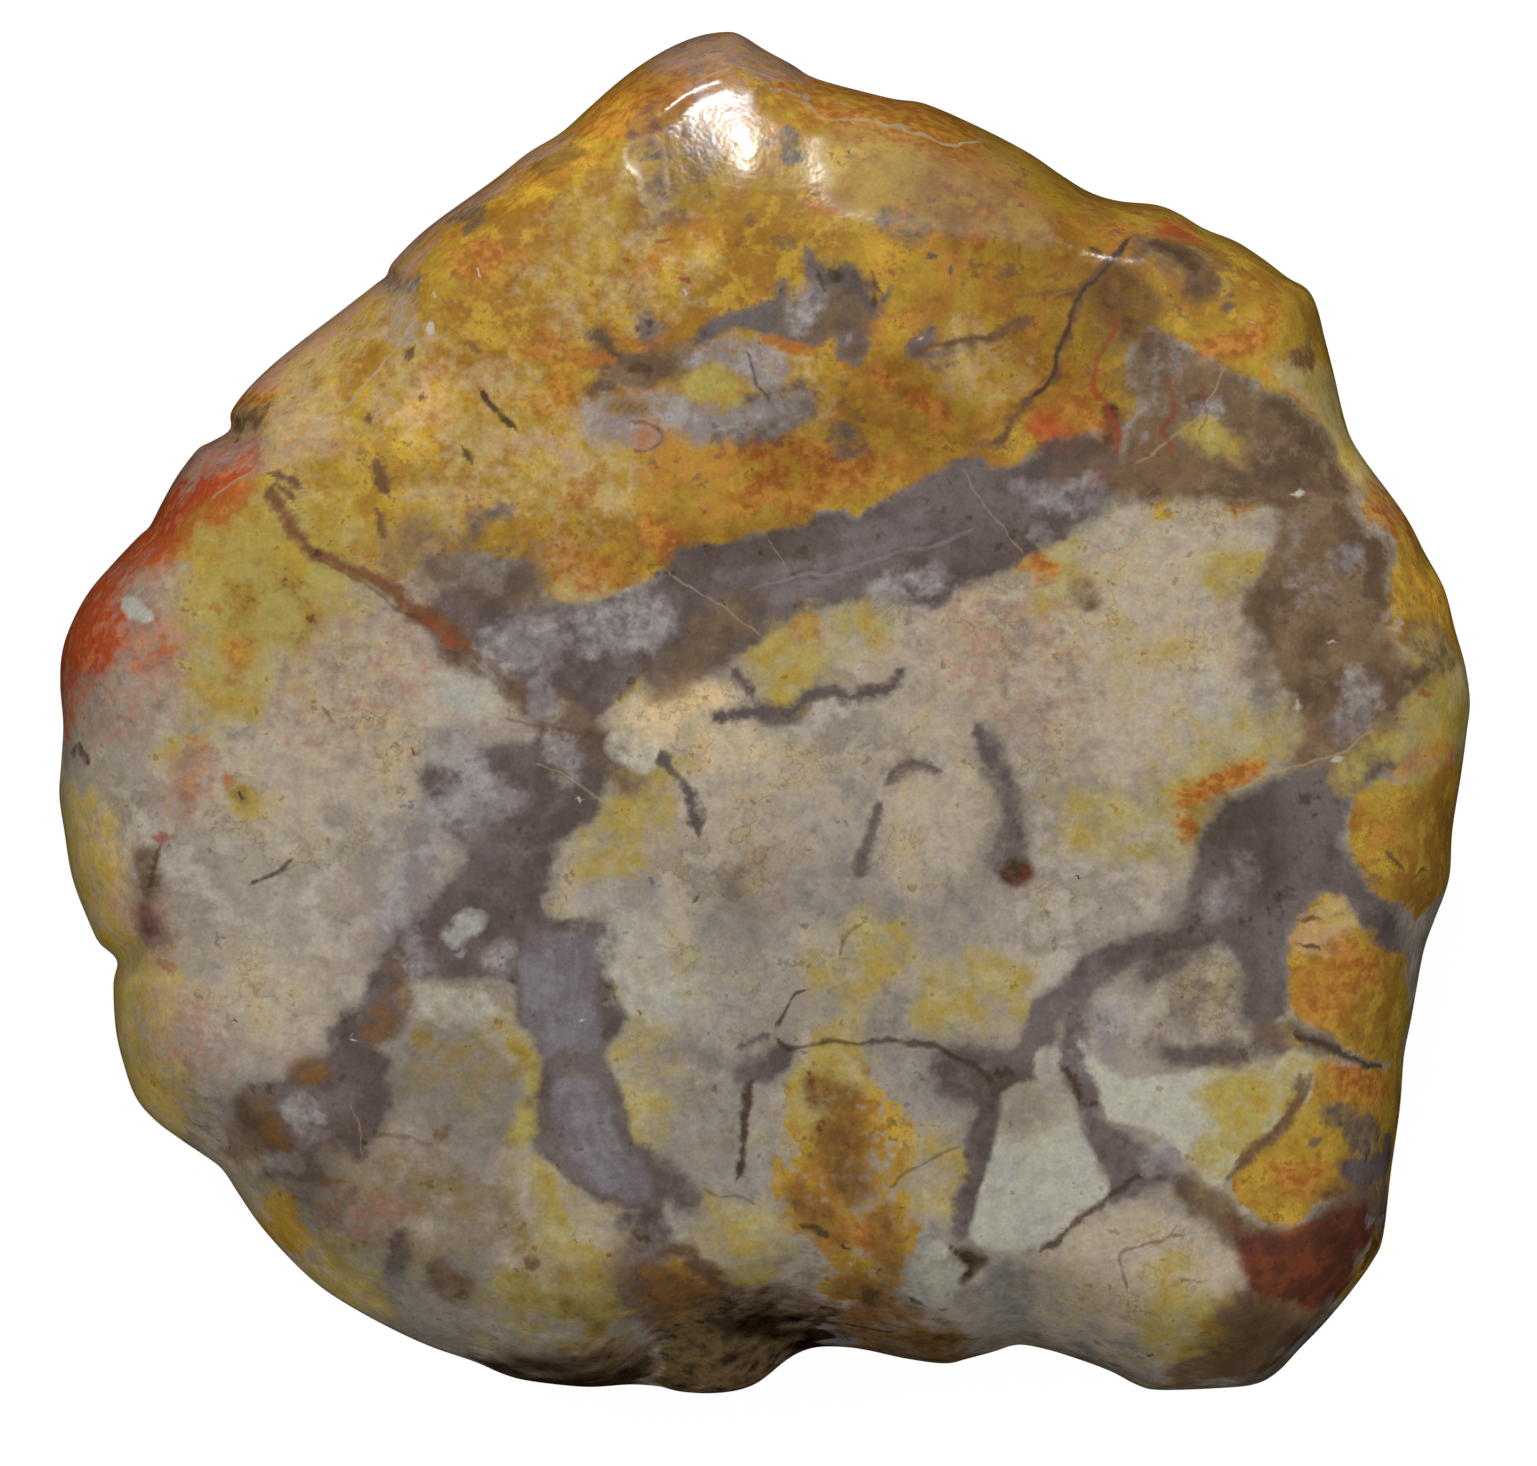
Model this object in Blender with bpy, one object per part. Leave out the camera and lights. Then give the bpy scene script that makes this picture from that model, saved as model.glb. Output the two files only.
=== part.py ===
"""A polished dinosaur coprolite: one tumbled slab of agatised stone, lying on its flat back.

The polished face looks up, along +Z. The outline and the places of the features are read
from a view straight down on the face, in pixels of that view, and scaled to the real width.
"""

import math

import bmesh
import bpy
import numpy as np

# Driving sizes in metres
WIDTH = 0.076
THICKNESS = 0.024
WAIST_HEIGHT = 0.0105
WAIST_WAVE = 0.0010
BACK_INSET = 0.0070
SIDE_WAVE = 0.0006
DOME_FALL = 0.0024
TOP_TILT_FALL = 0.0022
BEVEL_SLOPE = 0.75
BEVEL_REACH = 0.0180
CREASE_SOFTNESS = 0.0004
HOLLOW_DEPTH = 0.0034
HOLLOW_HALF_WIDTH = 0.0019
LOBE_FALL = 0.0038
LOBE_HALF_WIDTH = 0.0026
SHELF_STEP = 0.0011
SHELF_HALF_WIDTH = 0.0022
RIPPLE_HEIGHT = 0.00035
RIPPLE_HALF_WIDTH = 0.0007

# How far in from the outline the rounded edge of the face reaches, by compass direction
EDGE_INSET = {
    "right": 0.0040,
    "upper right": 0.0038,
    "top": 0.0034,
    "upper left": 0.0032,
    "left": 0.0046,
    "lower left": 0.0056,
    "bottom": 0.0078,
    "lower right": 0.0056,
}

# Mesh density: the rings are evenly spaced to a share of the way out, and tighter beyond it
GRID_STEPS = 52
EVEN_RINGS = 0.70
EVEN_SHARE = 0.80
BACK_ROWS = 7
CURVE_SAMPLES = 840
SOFTEN_REACH = 20

# The view's pixels: the stone's leftmost, rightmost, topmost and lowest ones
LEFT_PX, RIGHT_PX, TOP_PX, BOTTOM_PX = 60, 1469, 32, 1394

OUTLINE_PX = [
    (699, 36), (726, 32), (741, 35), (765, 50), (792, 65), (818, 80), (888, 98), (918, 102),
    (941, 110), (968, 122), (1001, 138), (1032, 155), (1061, 175), (1089, 192), (1118, 201),
    (1156, 205), (1179, 214), (1204, 229), (1236, 242), (1265, 261), (1287, 278), (1306, 289),
    (1316, 307), (1324, 339), (1332, 371), (1343, 420), (1356, 450), (1402, 513), (1424, 554),
    (1443, 589), (1454, 630), (1464, 665), (1469, 701), (1466, 732), (1461, 771), (1452, 830),
    (1450, 870), (1445, 892), (1435, 917), (1424, 948), (1417, 986), (1411, 1020), (1404, 1056),
    (1400, 1107), (1391, 1171), (1383, 1236), (1373, 1260), (1351, 1291), (1325, 1322),
    (1300, 1348), (1277, 1372), (1255, 1384), (1220, 1388), (1159, 1390), (1137, 1385),
    (1112, 1372), (1083, 1361), (1048, 1350), (1018, 1345), (994, 1352), (968, 1359),
    (945, 1364), (905, 1359), (868, 1351), (838, 1347), (812, 1348), (789, 1358), (759, 1382),
    (736, 1391), (709, 1394), (679, 1392), (659, 1387), (630, 1385), (586, 1387), (531, 1381),
    (504, 1374), (474, 1361), (431, 1346), (388, 1326), (345, 1302), (315, 1281), (285, 1252),
    (259, 1222), (239, 1192), (224, 1169), (209, 1157), (183, 1140), (156, 1120), (136, 1096),
    (123, 1059), (116, 1026), (114, 983), (118, 965), (115, 956), (100, 943), (90, 923),
    (73, 878), (65, 831), (60, 795), (62, 762), (64, 725), (61, 685), (63, 652), (73, 622),
    (91, 590), (118, 559), (140, 536), (151, 526), (163, 503), (179, 475), (199, 449),
    (210, 443), (231, 430), (231, 413), (246, 391), (272, 365), (305, 338), (339, 312),
    (375, 284), (388, 274), (390, 265), (411, 242), (438, 219), (494, 179), (527, 153),
    (560, 133), (586, 110), (613, 86), (639, 66), (669, 48),
]

# Broad shallow dips of the face: centre in pixels, radius and depth in metres
DIPS = [
    ((560, 1010), 0.0110, 0.0006),
    ((830, 1060), 0.0100, 0.0005),
    ((640, 400), 0.0100, 0.0005),
    ((1010, 420), 0.0080, 0.0004),
    ((1130, 960), 0.0080, 0.0003),
    ((300, 900), 0.0090, 0.0004),
]

# The crease between the face and the bevel along the upper left edge
CREASE_PX = [
    (110, 640), (165, 540), (205, 500), (268, 458), (350, 410), (385, 372), (418, 320), (470, 262),
]

BEVEL_MIDDLE_PX = (290, 440)

# Where the face starts to tilt down towards the top edge
TILT_START_PX, TILT_END_PX = 260, 60

# The hollow that bites into the lower edge, the low lobe inside it and the shelf beside it
HOLLOW_PX = [(636, 1386), (646, 1358), (668, 1334), (705, 1322), (755, 1321), (800, 1332), (835, 1347)]
LOBE_PX = [(664, 1394), (690, 1372), (735, 1366), (772, 1376)]
SHELF_PX = [(812, 1318), (870, 1322), (930, 1330), (1000, 1338)]

# Low ripples left along the top edge
RIPPLES_PX = [
    [(640, 125), (665, 112), (680, 97), (700, 85), (730, 80), (755, 86)],
    [(760, 92), (790, 87), (815, 92), (845, 105), (900, 122), (960, 138), (985, 148)],
]

# Pits and notches in the face: centre in pixels, radius and depth in metres
PITS = [
    ((1015, 874), 0.0010, 0.0009),
    ((242, 796), 0.0006, 0.0006),
    ((653, 1218), 0.0006, 0.0006),
    ((843, 1250), 0.0006, 0.0006),
    ((968, 1260), 0.0009, 0.0010),
    ((648, 165), 0.0009, 0.0005),
    ((686, 287), 0.0006, 0.0006),
    ((1149, 1357), 0.0006, 0.0006),
]

SCALE = WIDTH / (RIGHT_PX - LEFT_PX)
STONE_COLOUR = (0.42, 0.30, 0.13, 1.0)
STONE_ROUGHNESS = 0.22


def metres(pixels):
    """Places in the view, as metres from the middle of the stone's box."""
    places = np.asarray(pixels, float)
    right = (places[..., 0] - (LEFT_PX + RIGHT_PX) / 2) * SCALE
    up = ((TOP_PX + BOTTOM_PX) / 2 - places[..., 1]) * SCALE
    return np.stack([right, up], axis=-1)


def smooth_curve(points, closed):
    """A smooth curve through the points, as closely spaced points."""
    points = np.asarray(points, float)
    if closed:
        before, after = np.roll(points, 1, axis=0), np.roll(points, -1, axis=0)
        slopes = (after - before) / 2
        starts, ends = points, after
        start_slopes, end_slopes = slopes, np.roll(slopes, -1, axis=0)
    else:
        slopes = np.gradient(points, axis=0)
        starts, ends = points[:-1], points[1:]
        start_slopes, end_slopes = slopes[:-1], slopes[1:]
    step = np.linspace(0, 1, 12, endpoint=False)[:, None, None]
    curve = (
        (2 * step**3 - 3 * step**2 + 1) * starts
        + (step**3 - 2 * step**2 + step) * start_slopes
        + (3 * step**2 - 2 * step**3) * ends
        + (step**3 - step**2) * end_slopes
    )
    curve = curve.transpose(1, 0, 2).reshape(-1, 2)
    return curve if closed else np.vstack([curve, points[-1]])


def even_outline():
    """The outline as evenly spaced points in metres, anticlockwise from the lower right."""
    curve = smooth_curve(metres(OUTLINE_PX), closed=True)[::-1]
    start = np.argmin(np.abs(np.arctan2(curve[:, 1], curve[:, 0]) + math.pi / 4))
    curve = np.roll(curve, -start, axis=0)
    ring = np.vstack([curve, curve[:1]])
    along = np.concatenate([[0], np.cumsum(np.linalg.norm(np.diff(ring, axis=0), axis=1))])
    wanted = np.linspace(0, along[-1], CURVE_SAMPLES, endpoint=False)
    return np.stack([np.interp(wanted, along, ring[:, axis]) for axis in (0, 1)], axis=1)


def softened(ring):
    """A closed ring of points with its small bays and bumps smoothed away."""
    for _ in range(3):
        reach = np.arange(-SOFTEN_REACH, SOFTEN_REACH + 1)
        ring = np.mean([np.roll(ring, shift, axis=0) for shift in reach], axis=0)
    return ring


OUTLINE = even_outline()
BACK_OUTLINE = softened(OUTLINE)


def ring_at(ring, around):
    """The point of a closed ring at a share, 0 to 1, of the way round."""
    place = np.asarray(around) % 1 * CURVE_SAMPLES
    before = np.floor(place).astype(int) % CURVE_SAMPLES
    part = (place - np.floor(place))[..., None]
    return ring[before] * (1 - part) + ring[(before + 1) % CURVE_SAMPLES] * part


def distance_to(places, curve):
    """The distance from each place to the nearest point of a curve."""
    gaps = places[:, None, :] - curve[None, :, :]
    return np.sqrt((gaps**2).sum(axis=-1)).min(axis=1)


def side_of(places, curve):
    """The distance to an open curve, positive on the left of its direction of travel."""
    gaps = places[:, None, :] - curve[None, :-1, :]
    nearest = (gaps**2).sum(axis=-1).argmin(axis=1)
    run = (curve[1:] - curve[:-1])[nearest]
    gap = places - curve[nearest]
    return (run[:, 0] * gap[:, 1] - run[:, 1] * gap[:, 0]) / np.linalg.norm(run, axis=1)


def bell(distance, radius):
    return np.exp(-((distance / radius) ** 2))


def smooth_step(value):
    share = np.clip(value, 0, 1)
    return share * share * (3 - 2 * share)


def lower_of(first, second):
    """The lower of two surfaces, with the crease between them softened."""
    return (first + second - np.sqrt((first - second) ** 2 + CREASE_SOFTNESS**2)) / 2


def direction_of(places):
    return np.arctan2(places[:, 1], places[:, 0])


def edge_inset(places):
    """The reach of the rounded edge in each place's direction, eased between the compass points."""
    turns = (direction_of(places) / (2 * math.pi) % 1) * len(EDGE_INSET)
    reach = np.array([EDGE_INSET[name] for name in (
        "right", "upper right", "top", "upper left", "left", "lower left", "bottom", "lower right",
    )])
    before = np.floor(turns).astype(int) % len(reach)
    part = smooth_step(turns - np.floor(turns))
    return reach[before] * (1 - part) + reach[(before + 1) % len(reach)] * part


def waist_height(places):
    """The height of the stone's widest line, which wanders a little round the side."""
    turn = direction_of(places)
    return WAIST_HEIGHT + WAIST_WAVE * (np.sin(2 * turn + 0.8) + 0.6 * np.sin(5 * turn))


def dome(places, share_out):
    """The fall of the gently crowned face, and of its tilt towards the top edge."""
    start, end = metres([(0, TILT_START_PX), (0, TILT_END_PX)])[:, 1]
    tilt = np.clip((places[:, 1] - start) / (end - start), 0, 1.2) ** 1.6
    return DOME_FALL * share_out**4 + TOP_TILT_FALL * tilt


def dished(places, height, hollows):
    """The surface with round hollows sunk in it, broad dips or small pits."""
    for centre, radius, depth in hollows:
        away = np.linalg.norm(places - metres(centre), axis=1)
        height = height - depth * bell(away, radius)
    return height


def bevelled(places, height):
    """The face cut by the bevel, which falls away outside the crease and fades at its ends."""
    outside = side_of(places, smooth_curve(metres(CREASE_PX), closed=False))
    near = bell(np.linalg.norm(places - metres(BEVEL_MIDDLE_PX), axis=1), BEVEL_REACH)
    cut = lower_of(height, height - outside * BEVEL_SLOPE)
    return height + (cut - height) * smooth_step(2 * near)


def hollowed(places, height):
    """The face with the hollow, the low lobe outside it and the step of the shelf."""
    hollow = distance_to(places, smooth_curve(metres(HOLLOW_PX), closed=False))
    lobe = distance_to(places, smooth_curve(metres(LOBE_PX), closed=False))
    shelf = smooth_curve(metres(SHELF_PX), closed=False)
    height = height - HOLLOW_DEPTH * bell(hollow, HOLLOW_HALF_WIDTH)
    height = height - LOBE_FALL * bell(lobe, LOBE_HALF_WIDTH)
    under = smooth_step(0.5 - side_of(places, shelf) / CREASE_SOFTNESS)
    beside = bell(distance_to(places, shelf), SHELF_HALF_WIDTH)
    return height - SHELF_STEP * under * beside


def rippled(places, height):
    for ripple in RIPPLES_PX:
        crest = smooth_curve(metres(ripple), closed=False)
        height = height + RIPPLE_HEIGHT * bell(distance_to(places, crest), RIPPLE_HALF_WIDTH)
    return height


def face_height(places, share_out):
    """The height of the polished face over each place, down to the waist at the outline."""
    height = dished(places, THICKNESS - dome(places, share_out), DIPS)
    height = rippled(places, bevelled(places, height))
    height = dished(places, hollowed(places, height), PITS)
    waist = waist_height(places)
    inward = np.clip(distance_to(places, OUTLINE) / edge_inset(places), 0, 1)
    inward[share_out > 0.9999] = 0
    roll = (1 - (1 - inward) ** 2.1) ** (1 / 2.1)
    return waist + (height - waist) * roll


def ring_place(across, up):
    """Where a place in a square from -1 to 1 lies: the share out from the middle, and round."""
    out = max(abs(across), abs(up))
    if out == 0:
        return 0.0, 0.0
    if across == out:
        side, along = 0, up
    elif up == out:
        side, along = 1, -across
    elif across == -out:
        side, along = 2, -up
    else:
        side, along = 3, across
    return out, (side + (along / out + 1) / 2) / 4


def eased_out(out):
    """How far out a ring lies: the spacing tightens where the side turns down."""
    if out < EVEN_RINGS:
        return EVEN_SHARE * out / EVEN_RINGS
    beyond = (out - EVEN_RINGS) / (1 - EVEN_RINGS)
    return EVEN_SHARE + (1 - EVEN_SHARE) * math.sin(beyond * math.pi / 2)


def raise_face(bm, around):
    """Bends a flat square grid into the polished face, out to the waist."""
    bmesh.ops.create_grid(bm, x_segments=GRID_STEPS, y_segments=GRID_STEPS, size=1)
    rings = [ring_place(round(v.co.x, 6), round(v.co.y, 6)) for v in bm.verts]
    share_out = np.array([eased_out(out) for out, _ in rings])
    turns = np.array([turn for _, turn in rings])
    places = ring_at(OUTLINE, turns) * share_out[:, None]
    heights = face_height(places, share_out)
    for vertex, turn, place, height in zip(bm.verts, turns, places, heights):
        vertex[around] = turn
        vertex.co = (place[0], place[1], height)


def side_places(turns, fall):
    """The side's places below the waist: the outline draws in, and its bays smooth away."""
    ease = smooth_step(fall / (math.pi / 2))
    rim = ring_at(OUTLINE, turns) * (1 - ease) + ring_at(BACK_OUTLINE, turns) * ease
    wave = SIDE_WAVE * math.sin(2 * fall) * np.sin(2 * math.pi * (7 * turns + 0.3 * np.sin(6 * turns)))
    reach = BACK_INSET * (1 - math.cos(fall)) + wave
    return rim * (1 - reach / np.linalg.norm(rim, axis=1))[:, None]


def lower_side(bm, around):
    """Draws the waist down and in to the flat back, row by row, and closes the back."""
    edges = [edge for edge in bm.edges if edge.is_boundary]
    for row in range(1, BACK_ROWS + 1):
        made = bmesh.ops.extrude_edge_only(bm, edges=edges)["geom"]
        edges = [piece for piece in made if isinstance(piece, bmesh.types.BMEdge)]
        verts = [piece for piece in made if isinstance(piece, bmesh.types.BMVert)]
        turns = np.array([vertex[around] for vertex in verts])
        fall = row / BACK_ROWS * math.pi / 2
        sink = 1 - math.sin(fall) if row < BACK_ROWS else 0.0
        heights = waist_height(ring_at(OUTLINE, turns)) * sink
        for vertex, place, height in zip(verts, side_places(turns, fall), heights):
            vertex.co = (place[0], place[1], height)
    bmesh.ops.contextual_create(bm, geom=edges)


def stone_material():
    material = bpy.data.materials.new("agatised stone")
    material.use_nodes = True
    finish = material.node_tree.nodes["Principled BSDF"]
    finish.inputs["Base Color"].default_value = STONE_COLOUR
    finish.inputs["Roughness"].default_value = STONE_ROUGHNESS
    finish.inputs["Metallic"].default_value = 0.0
    return material


def make_coprolite():
    bm = bmesh.new()
    around = bm.verts.layers.float.new("around")
    raise_face(bm, around)
    lower_side(bm, around)
    bmesh.ops.recalc_face_normals(bm, faces=bm.faces)
    mesh = bpy.data.meshes.new("coprolite")
    bm.to_mesh(mesh)
    bm.free()
    mesh.shade_smooth()
    mesh.materials.append(stone_material())
    coprolite = bpy.data.objects.new("coprolite", mesh)
    bpy.context.scene.collection.objects.link(coprolite)
    return coprolite


for leftover in list(bpy.data.objects):
    bpy.data.objects.remove(leftover)
make_coprolite()
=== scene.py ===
"""The looks of a polished dinosaur coprolite: one slab of agatised stone, lying on its back.

The stone's form is the solid's own on a finer mesh, with a softer crease, shallower pits and
finer relief. Its markings are points of outlines and lines that were read, in pixels of
a view straight down on the face. The mesh holds how far inside each marking a vertex lies, and
the shader breaks up the edges.
"""

import math

import bpy
import numpy as np
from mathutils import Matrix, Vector, noise


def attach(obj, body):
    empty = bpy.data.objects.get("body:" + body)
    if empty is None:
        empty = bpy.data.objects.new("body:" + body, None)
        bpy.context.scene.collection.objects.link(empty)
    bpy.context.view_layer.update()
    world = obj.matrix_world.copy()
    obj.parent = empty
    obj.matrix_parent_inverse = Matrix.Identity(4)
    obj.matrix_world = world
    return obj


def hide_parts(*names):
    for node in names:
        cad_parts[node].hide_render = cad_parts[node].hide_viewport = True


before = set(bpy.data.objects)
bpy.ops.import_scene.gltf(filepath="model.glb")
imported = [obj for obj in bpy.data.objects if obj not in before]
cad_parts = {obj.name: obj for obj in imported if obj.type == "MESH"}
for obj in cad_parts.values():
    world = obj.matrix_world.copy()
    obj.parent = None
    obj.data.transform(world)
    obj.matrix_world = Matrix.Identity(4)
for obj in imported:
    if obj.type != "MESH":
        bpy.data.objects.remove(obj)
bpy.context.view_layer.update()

# Driving sizes in metres, as the solid has them, apart from the softer crease
WIDTH = 0.076
THICKNESS = 0.024
WAIST_HEIGHT = 0.0105
WAIST_WAVE = 0.0010
BACK_INSET = 0.0070
SIDE_WAVE = 0.0006
DOME_FALL = 0.0024
TOP_TILT_FALL = 0.0022
BEVEL_SLOPE = 0.75
BEVEL_REACH = 0.0180
CREASE_SOFTNESS = 0.0006
HOLLOW_DEPTH = 0.0034
HOLLOW_HALF_WIDTH = 0.0019
LOBE_FALL = 0.0038
LOBE_HALF_WIDTH = 0.0026
SHELF_STEP = 0.0011
SHELF_HALF_WIDTH = 0.0022
RIPPLE_HEIGHT = 0.00035
RIPPLE_HALF_WIDTH = 0.0007

# How sharply the dome, its tilt and the rounded edge of the face turn down
DOME_POWER = 4
TILT_POWER = 1.6
ROLL_POWER = 2.1

# How far in from the outline the rounded edge of the face reaches, anticlockwise from the right
EDGE_INSETS = np.array([0.0040, 0.0038, 0.0034, 0.0032, 0.0046, 0.0056, 0.0078, 0.0056])

# Mesh density: the face's rings are even to a share of the way out, and tighter beyond it
GRID_STEPS = 260
EVEN_RINGS = 0.70
EVEN_SHARE = 0.80
SIDE_ROWS = 14
CURVE_SAMPLES = 840
SOFTEN_REACH = 20

# The back's rings: those with half the points of the one outside, and how they are spaced
BACK_RINGS = 22
HALVING_RINGS = (0, 1, 12, 17)
BACK_RIM_RINGS = 2
BACK_RIM_STEP = 0.012
BACK_CROWDING = 0.9

# The bake map, from 0 to 1: the face's half size and middle, the side's two strips, the back
FACE_MAP_HALF, FACE_MAP_MIDDLE = 0.36, (0.375, 0.625)
STRIP_LEFT, STRIP_WIDTH = 0.015, 0.72
STRIP_TOP, STRIP_HEIGHT, STRIP_SPACING = 0.115, 0.10, 0.12
BACK_MAP_SIZE, BACK_MAP_MIDDLE = 0.22, (0.875, 0.5)

# The view: the stone's leftmost, rightmost, topmost and lowest pixels, the size of the whole
# view in pixels, and how high the eye is over the waist, in metres
LEFT_PX, RIGHT_PX, TOP_PX, BOTTOM_PX = 60, 1469, 32, 1394
VIEW_SIZE_PX = (1537, 1466)
VIEW_HEIGHT = 1.0
SCALE = WIDTH / (RIGHT_PX - LEFT_PX)


def read_points(text):
    """The points of a text such as "560,138 500,176"."""
    return np.array([point.split(",") for point in text.split()], float)


def read_marks(text):
    """Each mark of a text: the words before its colon, and the points between it and the next."""
    marks = []
    for mark in text.split(";"):
        words, points = mark.split(":")
        marks.append((words.split(), read_points(points)))
    return marks


OUTLINE_PX = read_points("""
    699,36 726,32 741,35 765,50 792,65 818,80 888,98 918,102 941,110 968,122 1001,138 1032,155
    1061,175 1089,192 1118,201 1156,205 1179,214 1204,229 1236,242 1265,261 1287,278 1306,289
    1316,307 1324,339 1332,371 1343,420 1356,450 1402,513 1424,554 1443,589 1454,630 1464,665
    1469,701 1466,732 1461,771 1452,830 1450,870 1445,892 1435,917 1424,948 1417,986 1411,1020
    1404,1056 1400,1107 1391,1171 1383,1236 1373,1260 1351,1291 1325,1322 1300,1348 1277,1372
    1255,1384 1220,1388 1159,1390 1137,1385 1112,1372 1083,1361 1048,1350 1018,1345 994,1352
    968,1359 945,1364 905,1359 868,1351 838,1347 812,1348 789,1358 759,1382 736,1391 709,1394
    679,1392 659,1387 630,1385 586,1387 531,1381 504,1374 474,1361 431,1346 388,1326 345,1302
    315,1281 285,1252 259,1222 239,1192 224,1169 209,1157 183,1140 156,1120 136,1096 123,1059
    116,1026 114,983 118,965 115,956 100,943 90,923 73,878 65,831 60,795 62,762 64,725 61,685
    63,652 73,622 91,590 118,559 140,536 151,526 163,503 179,475 199,449 210,443 231,430 231,413
    246,391 272,365 305,338 339,312 375,284 388,274 390,265 411,242 438,219 494,179 527,153 560,133
    586,110 613,86 639,66 669,48
""")

# Broad shallow dips of the face: centre in pixels, radius and depth in metres
DIPS = [
    ((560, 1010), 0.0110, 0.0006),
    ((830, 1060), 0.0100, 0.0005),
    ((640, 400), 0.0100, 0.0005),
    ((1010, 420), 0.0080, 0.0004),
    ((1130, 960), 0.0080, 0.0003),
    ((300, 900), 0.0090, 0.0004),
]

# The crease between the face and the bevel along the upper left edge
CREASE_PX = read_points("110,640 165,540 205,500 268,458 350,410 385,372 418,320 470,262")
BEVEL_MIDDLE_PX = (290, 440)

# Where the face starts to tilt down towards the top edge
TILT_START_PX, TILT_END_PX = 260, 60

# The hollow that bites into the lower edge, the low lobe inside it and the shelf beside it
HOLLOW_PX = read_points("636,1386 646,1358 668,1334 705,1322 755,1321 800,1332 835,1347")
LOBE_PX = read_points("664,1394 690,1372 735,1366 772,1376")
SHELF_PX = read_points("812,1318 870,1322 930,1330 1000,1338")

# Low ripples left along the top edge
RIPPLES_PX = [
    read_points("640,125 665,112 680,97 700,85 730,80 755,86"),
    read_points("760,92 790,87 815,92 845,105 900,122 960,138 985,148"),
]

# A rounded arris that catches the light near the top edge
ARRIS_PX = read_points("796,84 774,130 752,176 740,215")
ARRIS_HEIGHT = 0.00012
ARRIS_HALF_WIDTH = 0.0017

# The polish's faint wave: its height, and its waves to the metre
FACE_WAVE = 0.00009
WAVES_PER_METRE = 190

# Pits and notches in the face, shallower than the solid's: centre in pixels, radius and
# depth in metres
PITS = [
    ((1015, 874), 0.0008, 0.0003),
    ((242, 796), 0.0003, 0.0003),
    ((653, 1218), 0.0005, 0.0003),
    ((843, 1250), 0.0005, 0.0003),
    ((968, 1260), 0.0007, 0.0007),
    ((648, 165), 0.0007, 0.00015),
    ((686, 287), 0.0005, 0.0002),
    ((1149, 1357), 0.0005, 0.0003),
]

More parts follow.
